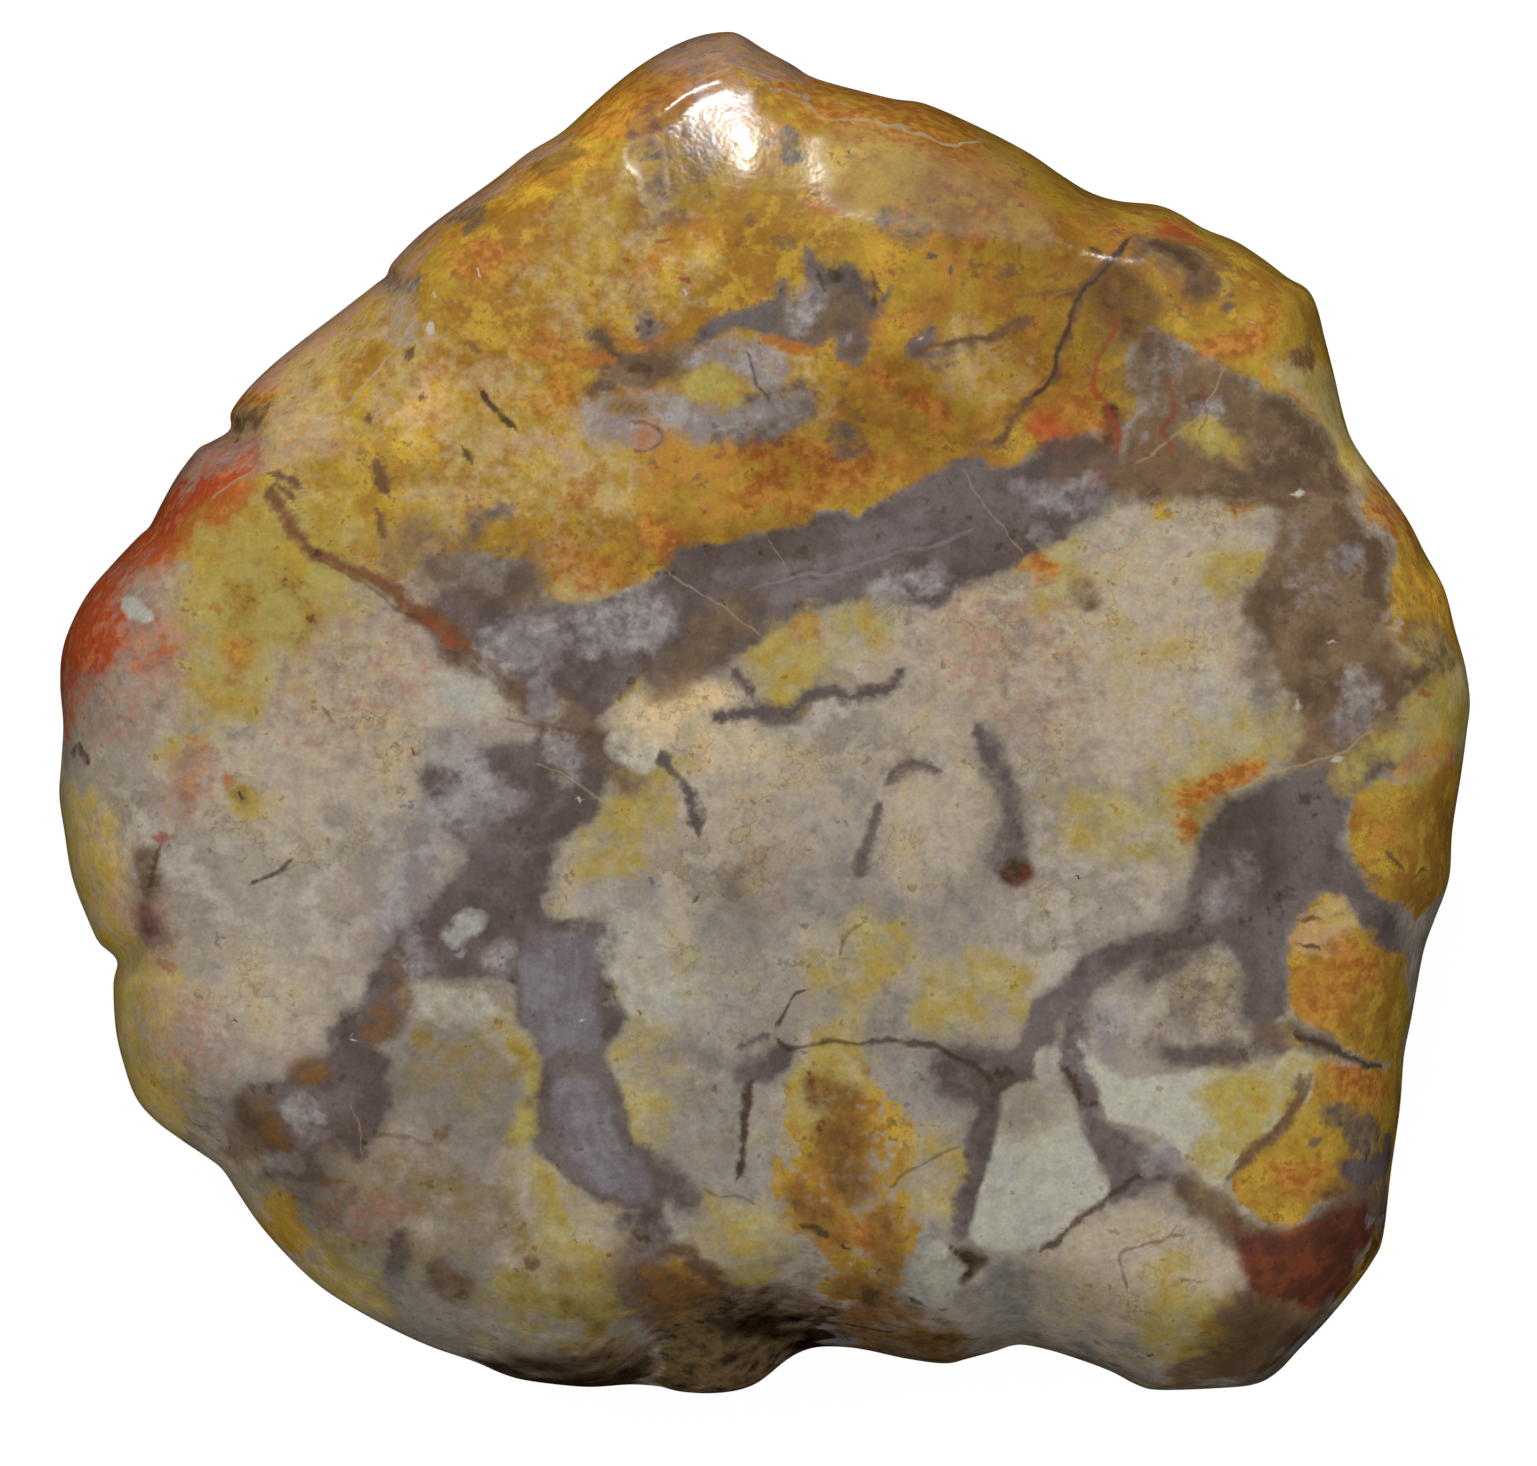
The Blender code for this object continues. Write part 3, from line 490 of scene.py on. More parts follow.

# Veins, cracks and painted highlights: filling, half width, how strongly it shows, then a line.
# The pale lines along the crease at the upper left and along the ripples by the top edge are
# painted highlights, and so are the white dots at 435,296, 687,291 and 583,1018.
VEINS_AND_PAINTED_GLINTS = """
    pale 1.3 0.6: 212,500 222,492 240,480 256,470; pale 1.3 0.68: 268,460 285,447 300,440 322,422
    340,412; pale 1.1 0.45: 362,400 372,388 385,375 395,358; pale 1.2 0.6: 398,350 404,335 410,325
    416,320; pale 0.9 0.38: 145,578 158,560; dark 3.6 0.9: 478,385 490,398 500,412 515,437; dark
    3.2 0.8: 462,440 470,452 473,468; dark 2.4 0.8: 245,888 259,881 275,872 297,854; brown 5.5 1:
    1135,232 1128,245 1112,262 1090,280 1082,295 1080,310 1073,325 1068,340 1058,352 1055,368
    1048,382 1035,392 1025,402 1018,415 1008,425 1003,437 985,445; brown 3 0.8: 905,350 940,345
    985,338 1015,325 1035,317; red 3 0.7: 1105,310 1113,325 1105,345 1100,360 1095,385 1105,400
    1110,420 1118,440 1115,460; pale 1.2 0.52: 1228,368 1210,396 1188,425 1159,447 1134,466; dark
    2.6 0.7: 745,348 755,370 768,405; pale 1.3 0.6: 1230,793 1265,777 1300,764 1332,752 1357,742
    1383,729; pale 1.1 0.45: 666,569 692,589 732,609 765,636; pale 0.9 0.38: 961,470 984,500
    1011,536 1027,556; pale 1 0.38: 767,536 782,559 796,582; brown 3 0.6: 796,585 798,600 802,618;
    brown 3.5 0.7: 1312,1069 1304,1095 1281,1126 1261,1152 1236,1171 1220,1182; dark 3.5 0.8:
    1061,1059 1076,1082 1080,1107; dark 3.5 0.8: 1150,1171 1108,1197 1083,1222 1051,1244 1032,1254;
    dark 5 0.9: 1290,1036 1325,1045 1351,1056 1380,1068; dark 2.2 0.8: 1293,941 1310,944 1325,949;
    dark 2 0.6: 1293,919 1325,919; dark 2.4 0.7: 1380,852 1392,862 1403,872; dark 2.4 0.7: 1404,884
    1418,876 1438,868; brown 2 0.6: 1127,1299 1122,1275 1124,1254 1153,1243 1191,1232; dark 2.5
    0.8: 809,988 792,998 785,1016 775,1033; dark 3 0.8: 775,1033 792,1046 818,1044 855,1043
    888,1038 928,1044 951,1057 978,1069 998,1085; dark 4.5 0.9: 757,1076 749,1099 745,1132 741,1165
    737,1185; brown 1.6 0.6: 702,1184 716,1196 745,1195 762,1206; dark 2.2 0.7: 699,890 692,908;
    brown 2.6 0.7: 862,925 845,938 838,960; dark 3 0.8: 799,1224 818,1234 835,1245; brown 1.8 0.6:
    885,1190 910,1175 945,1155 965,1145; pale 0.9 0.38: 353,1098 358,1130 358,1155; brown 1.8 0.6:
    1205,1275 1175,1285; dark 4 0.8: 1385,1236 1360,1262; brown 2 0.5: 320,700 340,725; dark 2.5
    0.7: 815,1052 800,1050; brown 4 0.6: 1420,640 1435,660; brown 1.6 0.5: 528,758 560,772 595,796;
    dark 2 0.5: 1050,300 1090,290; dark 2.4 0.7: 1085,245 1108,262; dark 2 0.5: 1018,240 1020,262;
    rust 7.5 0.95: 262,485 275,500 285,515 297,533 310,550 330,558 350,570 375,582 395,590 405,600
    415,612 435,622 450,632 465,645 480,655; dark 1.8 0.5: 300,545 330,566 372,590 402,610 430,630;
    brown 6 0.5: 465,647 480,658 495,670 510,684 525,697 535,703; pink 13 0.85: 622,438 640,436
    664,436; rust 2 0.7: 620,426 640,422 662,434 650,450 628,448; violet 4 0.8: 655,742 662,755
    672,770 682,782 692,800 698,820 702,838; violet 2.5 0.6: 880,790 885,780 900,768 925,765
    950,772; violet 6 0.9: 972,728 980,740 988,755 992,770; violet 6 0.85: 884,796 874,825 865,850
    857,886; orange 10 0.5: 626,438 640,437 658,437; brown 2 0.6: 1360,255 1345,275 1330,290; dark
    2.2 0.6: 820,268 824,285 832,300; dark 2.2 0.6: 868,262 876,282 886,300; brown 2.4 0.6:
    1010,300 1060,292 1085,288; brown 2 0.5: 640,1100 628,1090; brown 1.8 0.5: 300,1120 340,1128
    400,1136 440,1140; brown 1.6 0.5: 500,720 560,728 600,735; red 2 0.6: 1168,372 1172,400
    1166,430 1172,462; red 1.6 0.5: 1200,380 1206,410 1196,440; pale 1.2 0.45: 530,762 555,770
    575,780 595,795 612,810; pale 1.6 0.75: 700,86 716,76 740,70 765,74 790,84; pale 1.4 0.8:
    764,92 800,104 840,116 880,126 930,134 985,148; pale 1.2 0.6: 770,84 806,84 830,98; dark 2.4
    0.7: 166,842 160,862 152,880 150,898; dark 2.4 0.8: 1133,236 1126,248 1108,266 1088,284
    1079,300 1070,328 1058,352 1054,370 1044,386 1026,402; pale 1.4 0.85: 268,458 300,436 330,412
    360,388 385,362 404,335 416,320; orange 7.7 0.65: 205,608 235,612; orange 7.7 0.72: 215,780
    238,782; orange 4.4 0.84: 800,195 822,206 850,212; orange 6.6 0.84: 565,355 600,358 622,352;
    orange 6.6 0.9: 755,342 790,345 815,357; orange 8.8 0.84: 880,458 905,466; orange 6.6 0.57:
    1120,530 1128,534; red 6.6 0.5: 160,948 172,978; red 7.7 0.84: 166,825 165,852; red 4.4 0.84:
    678,280 698,282; red 5.5 0.65: 622,262 634,258; red 4.4 0.65: 650,235 676,240; red 6.6 0.78:
    932,186 955,184; red 5.5 0.65: 971,172 979,172; red 3.3 1: 410,752 414,752; red 3.3 0.9:
    246,968 250,968; red 4.4 1: 637,1010 643,1010; red 3.3 1: 603,664 607,664; red 4.4 0.9: 696,766
    702,766; red 3.3 0.9: 860,958 864,958; red 6.6 0.72: 1415,700 1430,690; violet 7.7 0.99:
    655,745 664,760 674,772; violet 7.7 1: 682,780 692,798 702,835; violet 5.5 0.94: 726,665
    742,682 755,702; violet 8.8 0.78: 880,790 900,770 945,768; violet 7.7 0.84: 970,722 985,738;
    brown 5.5 0.57: 525,178 545,170 565,158 585,147; violet 8.8 0.72: 450,232 470,218 490,205;
    violet 8.8 0.97: 655,158 648,150; violet 5.5 0.78: 641,188 649,188; violet 5.5 0.97: 925,260
    938,252; violet 6.6 0.97: 946,270 954,270; violet 6.6 0.78: 958,282 966,282; violet 8.8 0.72:
    705,445 730,432; violet 8.8 1: 438,785 440,800; dark 6.6 0.72: 1146,243 1180,254 1204,276;
    brown 8.8 0.97: 1184,280 1196,280; violet 6.6 0.94: 1162,295 1172,295; violet 6.6 0.9: 1220,293
    1230,293; violet 4.4 0.84: 1237,278 1243,278; violet 8.8 0.72: 1215,310 1235,300; violet 8.8
    0.78: 1310,1140 1320,1155; violet 5.5 0.84: 775,1033 750,1045 730,1055; brown 5.5 0.97: 262,474
    285,478 310,492; brown 4.4 0.9: 268,486 290,494 300,504; brown 7.7 0.94: 272,498 285,516; brown
    6.6 0.94: 374,450 380,480 396,497; brown 5.5 0.9: 378,500 380,520 390,545; brown 6.6 0.94:
    362,408 370,425; brown 6.6 0.94: 400,368 410,355 420,342; brown 5.5 0.72: 455,345 470,345
    480,362; brown 5.5 0.84: 415,402 428,397; brown 5.5 0.9: 275,393 262,412 248,430 240,445; brown
    5.5 0.9: 1040,312 1015,325 985,338 940,345; brown 8.8 0.9: 1285,350 1310,360 1325,358; brown
    8.8 0.84: 520,1258 545,1262; brown 8.8 0.78: 430,1125 455,1140; brown 5.5 0.78: 310,1185
    350,1180; brown 7.7 0.9: 1300,1070 1295,1110 1262,1150 1230,1172; milk 6.6 0.28: 705,577
    780,570 860,552 940,530; milk 2.2 0.43: 745,592 770,585 800,577 830,572 860,565 900,552 940,545
    980,525; milk 6.6 0.35: 760,603 800,590 850,572; milk 7.7 0.22: 830,540 880,528 930,508; milk
    8.8 0.65: 1020,540 1060,530; milk 3.3 0.35: 575,945 572,1000 576,1045; milk 3.3 0.57: 552,945
    549,1000 552,1045; milk 4.4 0.43: 583,1086 590,1120 605,1150 628,1178; milk 3.3 0.28: 572,1095
    578,1130 598,1165; milk 8.8 0.78: 850,330 845,345; milk 8.8 0.65: 1140,435 1150,445; milk 8.8
    0.78: 812,1328 850,1338; milk 8.8 0.84: 1365,1228 1385,1216; milk 6.6 1: 464,944 463,958; white
    5.5 1: 349,1038 357,1038; white 4.4 1: 580,1018 586,1018; white 4.4 1: 432,296 438,296; white
    3.3 1: 475,267 479,267; white 3.3 1: 498,302 502,302; white 7.7 0.84: 423,328 433,328; white
    4.4 1: 684,291 690,291; white 5.5 1: 1248,318 1256,318; white 5.5 1: 1298,490 1298,503; white
    5.5 0.97: 1326,642 1334,642; white 5.5 0.97: 916,336 924,336; white 8.8 0.78: 1292,708
    1304,708; white 4.4 0.9: 577,798 583,798; white 5.5 0.72: 1345,752 1330,758; white 7.7 0.28:
    1207,436 1217,436; dark 8.8 0.9: 700,1325 760,1322; dark 8.8 1: 647,1362 636,1384; dark 5.5
    0.65: 1008,884 1016,884; dark 6.1 1: 238,796 246,796; dark 4.4 0.99: 147,880 153,880; dark 4.4
    0.78: 78,746 85,768; dark 4.4 0.99: 649,1218 655,1218; dark 5.5 0.99: 839,1250 847,1250; dark
    6.6 0.97: 1144,1357 1154,1357; dark 3.3 0.99: 670,887 674,887; dark 8.8 0.78: 862,1300
    885,1290; dark 3.3 0.97: 805,1318 850,1322 900,1332; dark 3.3 0.78: 900,1300 930,1310; dark 6.6
    0.9: 312,548 320,556; dark 3.3 0.94: 314,446 318,446; dark 3.3 0.9: 280,405 284,405; dark 2.2
    0.9: 293,400 297,400; dark 3.3 0.84: 362,352 366,352; dark 2.2 0.84: 541,279 545,279; dark 3.3
    0.84: 596,157 600,157; dark 8.8 0.72: 825,270 850,280; dark 8.8 0.72: 869,302 881,302; dark 8.8
    0.57: 639,372 651,372; red 6.6 0.9: 412,612 441,632 461,652; violet 7.7 1: 706,728 718,718
    735,712 755,708 770,712 785,716 800,705 815,695 830,690 850,697 870,695 885,690 895,680
    907,664; dark 6.6 0.65: 620,365 655,370; orange 4.4 0.97: 805,960 811,960; red 4.4 0.78:
    613,813 619,813; white 4.4 0.97: 1262,777 1268,777; dark 3.3 0.99: 1044,892 1048,892; dark 3.3
    0.99: 1076,880 1080,880; dark 3.3 0.99: 1181,882 1185,882; dark 3.3 0.99: 378,1058 382,1058;
    dark 3.3 0.99: 223,1145 227,1145; dark 3.3 0.97: 291,1000 295,1000; dark 3.3 0.97: 231,1023
    235,1023
"""

# How far off its line a vein can show, in half widths and pixels, the gap that veins of one
# group keep, and the rim in pixels where a vein is still measured but no longer shows
VEIN_SPREAD, VEIN_MARGIN_PX = 1.6, 5
VEIN_GAP_PX = 12
VEIN_RIM_PX = 6

# A place away from all veins counts as this many half widths off
FAR_OFF = 9.0

# A vein's ends taper over half its width and a length in pixels, up to a share of the whole,
# down to the least width, where it has faded away
TAPER_PX, LONGEST_TAPER, THINNEST, TAPER_FADE = 8, 0.5, 0.2, 3

# The lowest value of a layer, where a place is far outside its marks
OUTSIDE = -2.0

# A dot is a stroke of this length
DOT_PX = 0.1

# Below the waist the markings slant inwards and to one side
INWARD_SLANT, INWARD_REACH_PX = 0.6, 700
SIDE_SLANT = (0.25, -0.2)

# How far noise moves the markings: waves to the millimetre, then pixels or a share of the fall
SLOW_WAVES, SLOW_PX, SLOW_SHARE = 0.45, 5, 0.1
QUICK_WAVES, QUICK_PX = 1.3, 3
DEEP_WAVES, DEEP_SHARE, DEEP_START = 0.16, 0.35, (9, 4, 2)

# Unseeded, the clock sets where this noise starts, and the markings move a little in every run
WANDER_SEED = 1795640646


def metres(pixels):
    """Places in the view, as metres from the middle of the stone's box."""
    places = np.asarray(pixels, float)
    right = (places[..., 0] - (LEFT_PX + RIGHT_PX) / 2) * SCALE
    up = ((TOP_PX + BOTTOM_PX) / 2 - places[..., 1]) * SCALE
    return np.stack([right, up], axis=-1)


def smooth_curve(points, closed, steps=12):
    """A smooth curve through the points, as closely spaced points."""
    points = np.asarray(points, float)
    if closed:
        before, after = np.roll(points, 1, axis=0), np.roll(points, -1, axis=0)
        slopes = (after - before) / 2
        starts, ends = points, after
        start_slopes, end_slopes = slopes, np.roll(slopes, -1, axis=0)
    else:
        slopes = np.gradient(points, axis=0)
        starts, ends = points[:-1], points[1:]
        start_slopes, end_slopes = slopes[:-1], slopes[1:]
    step = np.linspace(0, 1, steps, endpoint=False)[:, None, None]
    curve = (
        (2 * step**3 - 3 * step**2 + 1) * starts
        + (step**3 - 2 * step**2 + step) * start_slopes
        + (3 * step**2 - 2 * step**3) * ends
        + (step**3 - step**2) * end_slopes
    )
    curve = curve.transpose(1, 0, 2).reshape(-1, 2)
    return curve if closed else np.vstack([curve, points[-1]])


def curve_at(pixels):
    """A smooth open curve through points of the view, in metres."""
    return smooth_curve(metres(pixels), closed=False)


def even_outline():
    """The outline as evenly spaced points in metres, anticlockwise from the lower right."""
    curve = smooth_curve(metres(OUTLINE_PX), closed=True)[::-1]
    start = np.argmin(np.abs(np.arctan2(curve[:, 1], curve[:, 0]) + math.pi / 4))
    curve = np.roll(curve, -start, axis=0)
    ring = np.vstack([curve, curve[:1]])
    along = np.concatenate([[0], np.cumsum(np.linalg.norm(np.diff(ring, axis=0), axis=1))])
    wanted = np.linspace(0, along[-1], CURVE_SAMPLES, endpoint=False)
    return np.stack([np.interp(wanted, along, ring[:, axis]) for axis in (0, 1)], axis=1)


def softened(ring):
    """A closed ring of points with its small bays and bumps smoothed away."""
    for _ in range(3):
        reach = np.arange(-SOFTEN_REACH, SOFTEN_REACH + 1)
        ring = np.mean([np.roll(ring, shift, axis=0) for shift in reach], axis=0)
    return ring


OUTLINE = even_outline()
BACK_OUTLINE = softened(OUTLINE)


def ring_at(ring, around):
    """The point of a closed ring at a share, 0 to 1, of the way round."""
    place = np.asarray(around) % 1 * CURVE_SAMPLES
    before = np.floor(place).astype(int) % CURVE_SAMPLES
    part = (place - np.floor(place))[..., None]
    return ring[before] * (1 - part) + ring[(before + 1) % CURVE_SAMPLES] * part


# Distances are worked out for this many places at a time
PLACES_AT_ONCE = 3000
TINY = 1e-12


def nearest_on(places, line, closed=False):
    """For each place: how far the line is, on which side of it the place lies, how far along."""
    starts = line if closed else line[:-1]
    runs = (np.roll(line, -1, axis=0) if closed else line[1:]) - starts
    lengths = np.linalg.norm(runs, axis=1) + TINY
    passed = np.concatenate([[0], np.cumsum(lengths)])
    found = []
    for first in range(0, len(places), PLACES_AT_ONCE):
        gap = places[first:first + PLACES_AT_ONCE, None, :] - starts
        share = np.clip((gap * runs).sum(axis=-1) / lengths**2, 0, 1)
        squared = ((gap - share[..., None] * runs) ** 2).sum(axis=-1)
        best = squared.argmin(axis=1)
        rows = np.arange(len(best))
        cross = runs[best, 0] * gap[rows, best, 1] - runs[best, 1] * gap[rows, best, 0]
        side = cross / lengths[best]
        along = (passed[best] + share[rows, best] * lengths[best]) / passed[-1]
        found.append(np.stack([np.sqrt(squared[rows, best]), side, along], axis=1))
    return np.concatenate(found).T


def inside(places, ring):
    """Which places lie inside a closed ring of points."""
    found = []
    after = np.roll(ring, -1, axis=0)
    rise = np.where(after[:, 1] == ring[:, 1], TINY, after[:, 1] - ring[:, 1])
    for first in range(0, len(places), PLACES_AT_ONCE):
        some = places[first:first + PLACES_AT_ONCE]
        x, y = some[:, :1], some[:, 1:]
        crosses = (ring[:, 1] > y) != (after[:, 1] > y)
        at = ring[:, 0] + (y - ring[:, 1]) / rise * (after[:, 0] - ring[:, 0])
        found.append((crosses & (x < at)).sum(axis=1) % 2 == 1)
    return np.concatenate(found)


def distance_to(places, curve):
    return nearest_on(places, curve)[0]


def side_of(places, curve):
    """The distance to an open curve, positive on the left of its direction of travel."""
    return nearest_on(places, curve)[1]


def bell(distance, radius):
    return np.exp(-((distance / radius) ** 2))


def smooth_step(value):
    share = np.clip(value, 0, 1)
    return share * share * (3 - 2 * share)


def lower_of(first, second):
    """The lower of two surfaces, with the crease between them softened."""
    return (first + second - np.sqrt((first - second) ** 2 + CREASE_SOFTNESS**2)) / 2


def direction_of(places):
    return np.arctan2(places[:, 1], places[:, 0])


def edge_inset(places):
    """The reach of the rounded edge in each place's direction, eased between the directions."""
    turns = (direction_of(places) / (2 * math.pi) % 1) * len(EDGE_INSETS)
    before = np.floor(turns).astype(int) % len(EDGE_INSETS)
    part = smooth_step(turns - np.floor(turns))
    return EDGE_INSETS[before] * (1 - part) + EDGE_INSETS[(before + 1) % len(EDGE_INSETS)] * part


def waist_height(places):
    """The height of the stone's widest line, which wanders a little round the side."""
    turn = direction_of(places)
    return WAIST_HEIGHT + WAIST_WAVE * (np.sin(2 * turn + 0.8) + 0.6 * np.sin(5 * turn))


def dome(places, share_out):
    """The fall of the gently crowned face, and of its tilt towards the top edge."""
    start, end = metres([(0, TILT_START_PX), (0, TILT_END_PX)])[:, 1]
    tilt = np.clip((places[:, 1] - start) / (end - start), 0, 1.2) ** TILT_POWER
    return DOME_FALL * share_out**DOME_POWER + TOP_TILT_FALL * tilt


def dished(places, height, hollows):
    """The surface with round hollows sunk in it, broad dips or small pits."""
    for centre, radius, depth in hollows:
        away = np.linalg.norm(places - metres(centre), axis=1)
        height = height - depth * bell(away, radius)
    return height


def bevelled(places, height):
    """The face cut by the bevel, which falls away outside the crease and fades at its ends."""
    outside = side_of(places, curve_at(CREASE_PX))
    near = bell(np.linalg.norm(places - metres(BEVEL_MIDDLE_PX), axis=1), BEVEL_REACH)
    cut = lower_of(height, height - outside * BEVEL_SLOPE)
    return height + (cut - height) * smooth_step(2 * near)


def hollowed(places, height):
    """The face with the hollow, the low lobe outside it and the step of the shelf."""
    hollow = distance_to(places, curve_at(HOLLOW_PX))
    lobe = distance_to(places, curve_at(LOBE_PX))
    shelf = curve_at(SHELF_PX)
    height = height - HOLLOW_DEPTH * bell(hollow, HOLLOW_HALF_WIDTH)
    height = height - LOBE_FALL * bell(lobe, LOBE_HALF_WIDTH)
    under = smooth_step(0.5 - side_of(places, shelf) / CREASE_SOFTNESS)
    beside = bell(distance_to(places, shelf), SHELF_HALF_WIDTH)
    return height - SHELF_STEP * under * beside


def rippled(places, height):
    """The face with its ripples, the arris that catches the light and the polish's wave."""
    for ripple in RIPPLES_PX:
        away = distance_to(places, curve_at(ripple))
        height = height + RIPPLE_HEIGHT * bell(away, RIPPLE_HALF_WIDTH)
    arris = distance_to(places, curve_at(ARRIS_PX))
    height = height + ARRIS_HEIGHT * bell(arris, ARRIS_HALF_WIDTH)
    spots = (places * WAVES_PER_METRE).tolist()
    return height + FACE_WAVE * np.array([noise.noise(Vector((*spot, 0.0))) for spot in spots])


def face_height(places, share_out):
    """The height of the polished face over each place, down to the waist at the outline."""
    height = dished(places, THICKNESS - dome(places, share_out), DIPS)
    height = rippled(places, bevelled(places, height))
    height = dished(places, hollowed(places, height), PITS)
    waist = waist_height(places)
    inward = np.clip(nearest_on(places, OUTLINE, closed=True)[0] / edge_inset(places), 0, 1)
    inward[share_out > 0.9999] = 0
    roll = (1 - (1 - inward) ** ROLL_POWER) ** (1 / ROLL_POWER)
    return waist + (height - waist) * roll


def ring_places(across, up):
    """Where places in a square from -1 to 1 lie: the share out from the middle, and round."""
    out = np.maximum(np.abs(across), np.abs(up))
    near = 1e-9
    sides = [across >= out - near, up >= out - near, across <= near - out]
    side = np.select(sides, [0, 1, 2], 3)
    along = np.select(sides, [up, -across, -up], across) / np.maximum(out, near)
    return out, (side + (along + 1) / 2) / 4


def eased_out(out):
    """How far out a ring lies: the spacing tightens where the side turns down."""
    beyond = np.clip((out - EVEN_RINGS) / (1 - EVEN_RINGS), 0, 1)
    eased = EVEN_SHARE + (1 - EVEN_SHARE) * np.sin(beyond * math.pi / 2)
    return np.where(out < EVEN_RINGS, EVEN_SHARE * out / EVEN_RINGS, eased)


def side_places(turns, fall):
    """The side's places below the waist: the outline draws in, and its bays smooth away."""
    ease = smooth_step(fall / (math.pi / 2))
    rim = ring_at(OUTLINE, turns) * (1 - ease) + ring_at(BACK_OUTLINE, turns) * ease
    waves = np.sin(2 * math.pi * (7 * turns + 0.3 * np.sin(6 * turns)))
    reach = BACK_INSET * (1 - math.cos(fall)) + SIDE_WAVE * math.sin(2 * fall) * waves
    return rim * (1 - reach / np.linalg.norm(rim, axis=1))[:, None]


def stitched(outer, inner, step):
    """The faces between two rings of the stone, where the inner one has as many points or half."""
    count, inner_count = len(outer), len(inner)
    faces = []
    for k in range(inner_count):
        a, b = step * k, step * (k + 1)
        near, far = inner[k], inner[(k + 1) % inner_count]
        if step == 1:
            faces.append((outer[a], near, far, outer[b % count]))
        else:
            faces.append((outer[a], near, outer[a + 1]))
            faces.append((outer[a + 1], near, far))
            faces.append((outer[a + 1], far, outer[b % count]))
    return faces


def stone_form():
    """The stone's places, its faces, and the bake map's place for each face's corners."""
    steps = np.linspace(-1, 1, GRID_STEPS + 1)
    up, across = (axis.ravel() for axis in np.meshgrid(steps, steps, indexing="ij"))
    out, turns = ring_places(across, up)
    share_out = eased_out(out)
    places = ring_at(OUTLINE, turns) * share_out[:, None]
    verts = [np.column_stack([places, face_height(places, share_out)])]

    side = GRID_STEPS + 1
    index = np.arange(side * side).reshape(side, side)
    quads = np.stack([index[:-1, :-1], index[:-1, 1:], index[1:, 1:], index[1:, :-1]], axis=-1)
    faces = [tuple(quad) for quad in quads.reshape(-1, 4).tolist()]
    flat = np.column_stack([across, up])
    corners = [flat[quads.reshape(-1)] * FACE_MAP_HALF + FACE_MAP_MIDDLE]

    ring = [index[:-1, -1], index[-1, :0:-1], index[:0:-1, 0], index[0, :-1]]
    ring = np.concatenate(ring).tolist()
    columns = len(ring)
    turns = np.arange(columns) / columns
    strip, along = np.divmod(np.arange(columns), columns // 2)
    left = along / (columns // 2) * STRIP_WIDTH + STRIP_LEFT
    right = (along + 1) / (columns // 2) * STRIP_WIDTH + STRIP_LEFT
    total = side * side
    for row in range(1, SIDE_ROWS + 1):
        fall = row / SIDE_ROWS * math.pi / 2
        sink = 1 - math.sin(fall) if row < SIDE_ROWS else 0.0
        heights = waist_height(ring_at(OUTLINE, turns)) * sink
        verts.append(np.column_stack([side_places(turns, fall), heights]))
        below = list(range(total, total + columns))
        total += columns
        faces += stitched(ring, below, 1)
        ring = below
        top = STRIP_TOP + strip * STRIP_SPACING - (row - 1) / SIDE_ROWS * STRIP_HEIGHT
        foot = top - STRIP_HEIGHT / SIDE_ROWS
        strips = np.stack([left, top, left, foot, right, foot, right, top], axis=1)
        corners.append(strips.reshape(-1, 2))

    back_edge = side_places(turns, math.pi / 2)
    count = columns
    back = []
    for number in range(BACK_RINGS):
        step = 2 if number in HALVING_RINGS else 1
        count //= step
        if number < BACK_RIM_RINGS:
            share = 1 - BACK_RIM_STEP * (number + 1)
        else:
            share = (1 - (number + 1) / (BACK_RINGS + 1)) ** BACK_CROWDING
        spread = back_edge[:: columns // count] * share
        verts.append(np.column_stack([spread, np.zeros(count)]))
        inner = list(range(total, total + count))
        total += count
        back += stitched(ring, inner, step)
        ring = inner
    verts.append(np.zeros((1, 3)))
    back += [(ring[k], total, ring[(k + 1) % count]) for k in range(count)]
    verts = np.vstack(verts)
    spots = np.concatenate(back)
    corners.append(verts[spots, :2] / WIDTH * BACK_MAP_SIZE + BACK_MAP_MIDDLE)
    return verts, faces + back, np.vstack(corners)


# The markings: where each vertex lies in the view, then how strongly each layer covers it

VIEW_MIDDLE = metres((VIEW_SIZE_PX[0] / 2, VIEW_SIZE_PX[1] / 2))
PIXELS_PER_METRE = 1 / SCALE


def view_places(verts):
    """Each vertex's place in the view, in pixels, and how far below the waist it lies."""
    flat, height = verts[:, :2], verts[:, 2]
    waist = waist_height(flat)
    rise = np.maximum(height - waist, 0)
    nearer = VIEW_HEIGHT / (VIEW_HEIGHT - rise)
    seen = (flat - VIEW_MIDDLE) * nearer[:, None]
    pixels = seen * PIXELS_PER_METRE * (1, -1) + (VIEW_SIZE_PX[0] / 2, VIEW_SIZE_PX[1] / 2)
    middle = np.array([(LEFT_PX + RIGHT_PX) / 2, (TOP_PX + BOTTOM_PX) / 2])
    drawn = np.maximum(waist - height, 0) * PIXELS_PER_METRE
    pixels = pixels + (middle - pixels) * (drawn * INWARD_SLANT / INWARD_REACH_PX)[:, None]
    return pixels + drawn[:, None] * SIDE_SLANT, drawn


def wander(verts, waves, start=(0, 0, 0)):
    """Two smooth random numbers for each vertex."""
    millimetres = (verts * 1000).tolist()
    points = [Vector(place) * waves + Vector(start) for place in millimetres]
    return np.array([noise.noise_vector(point) for point in points])[:, :2]


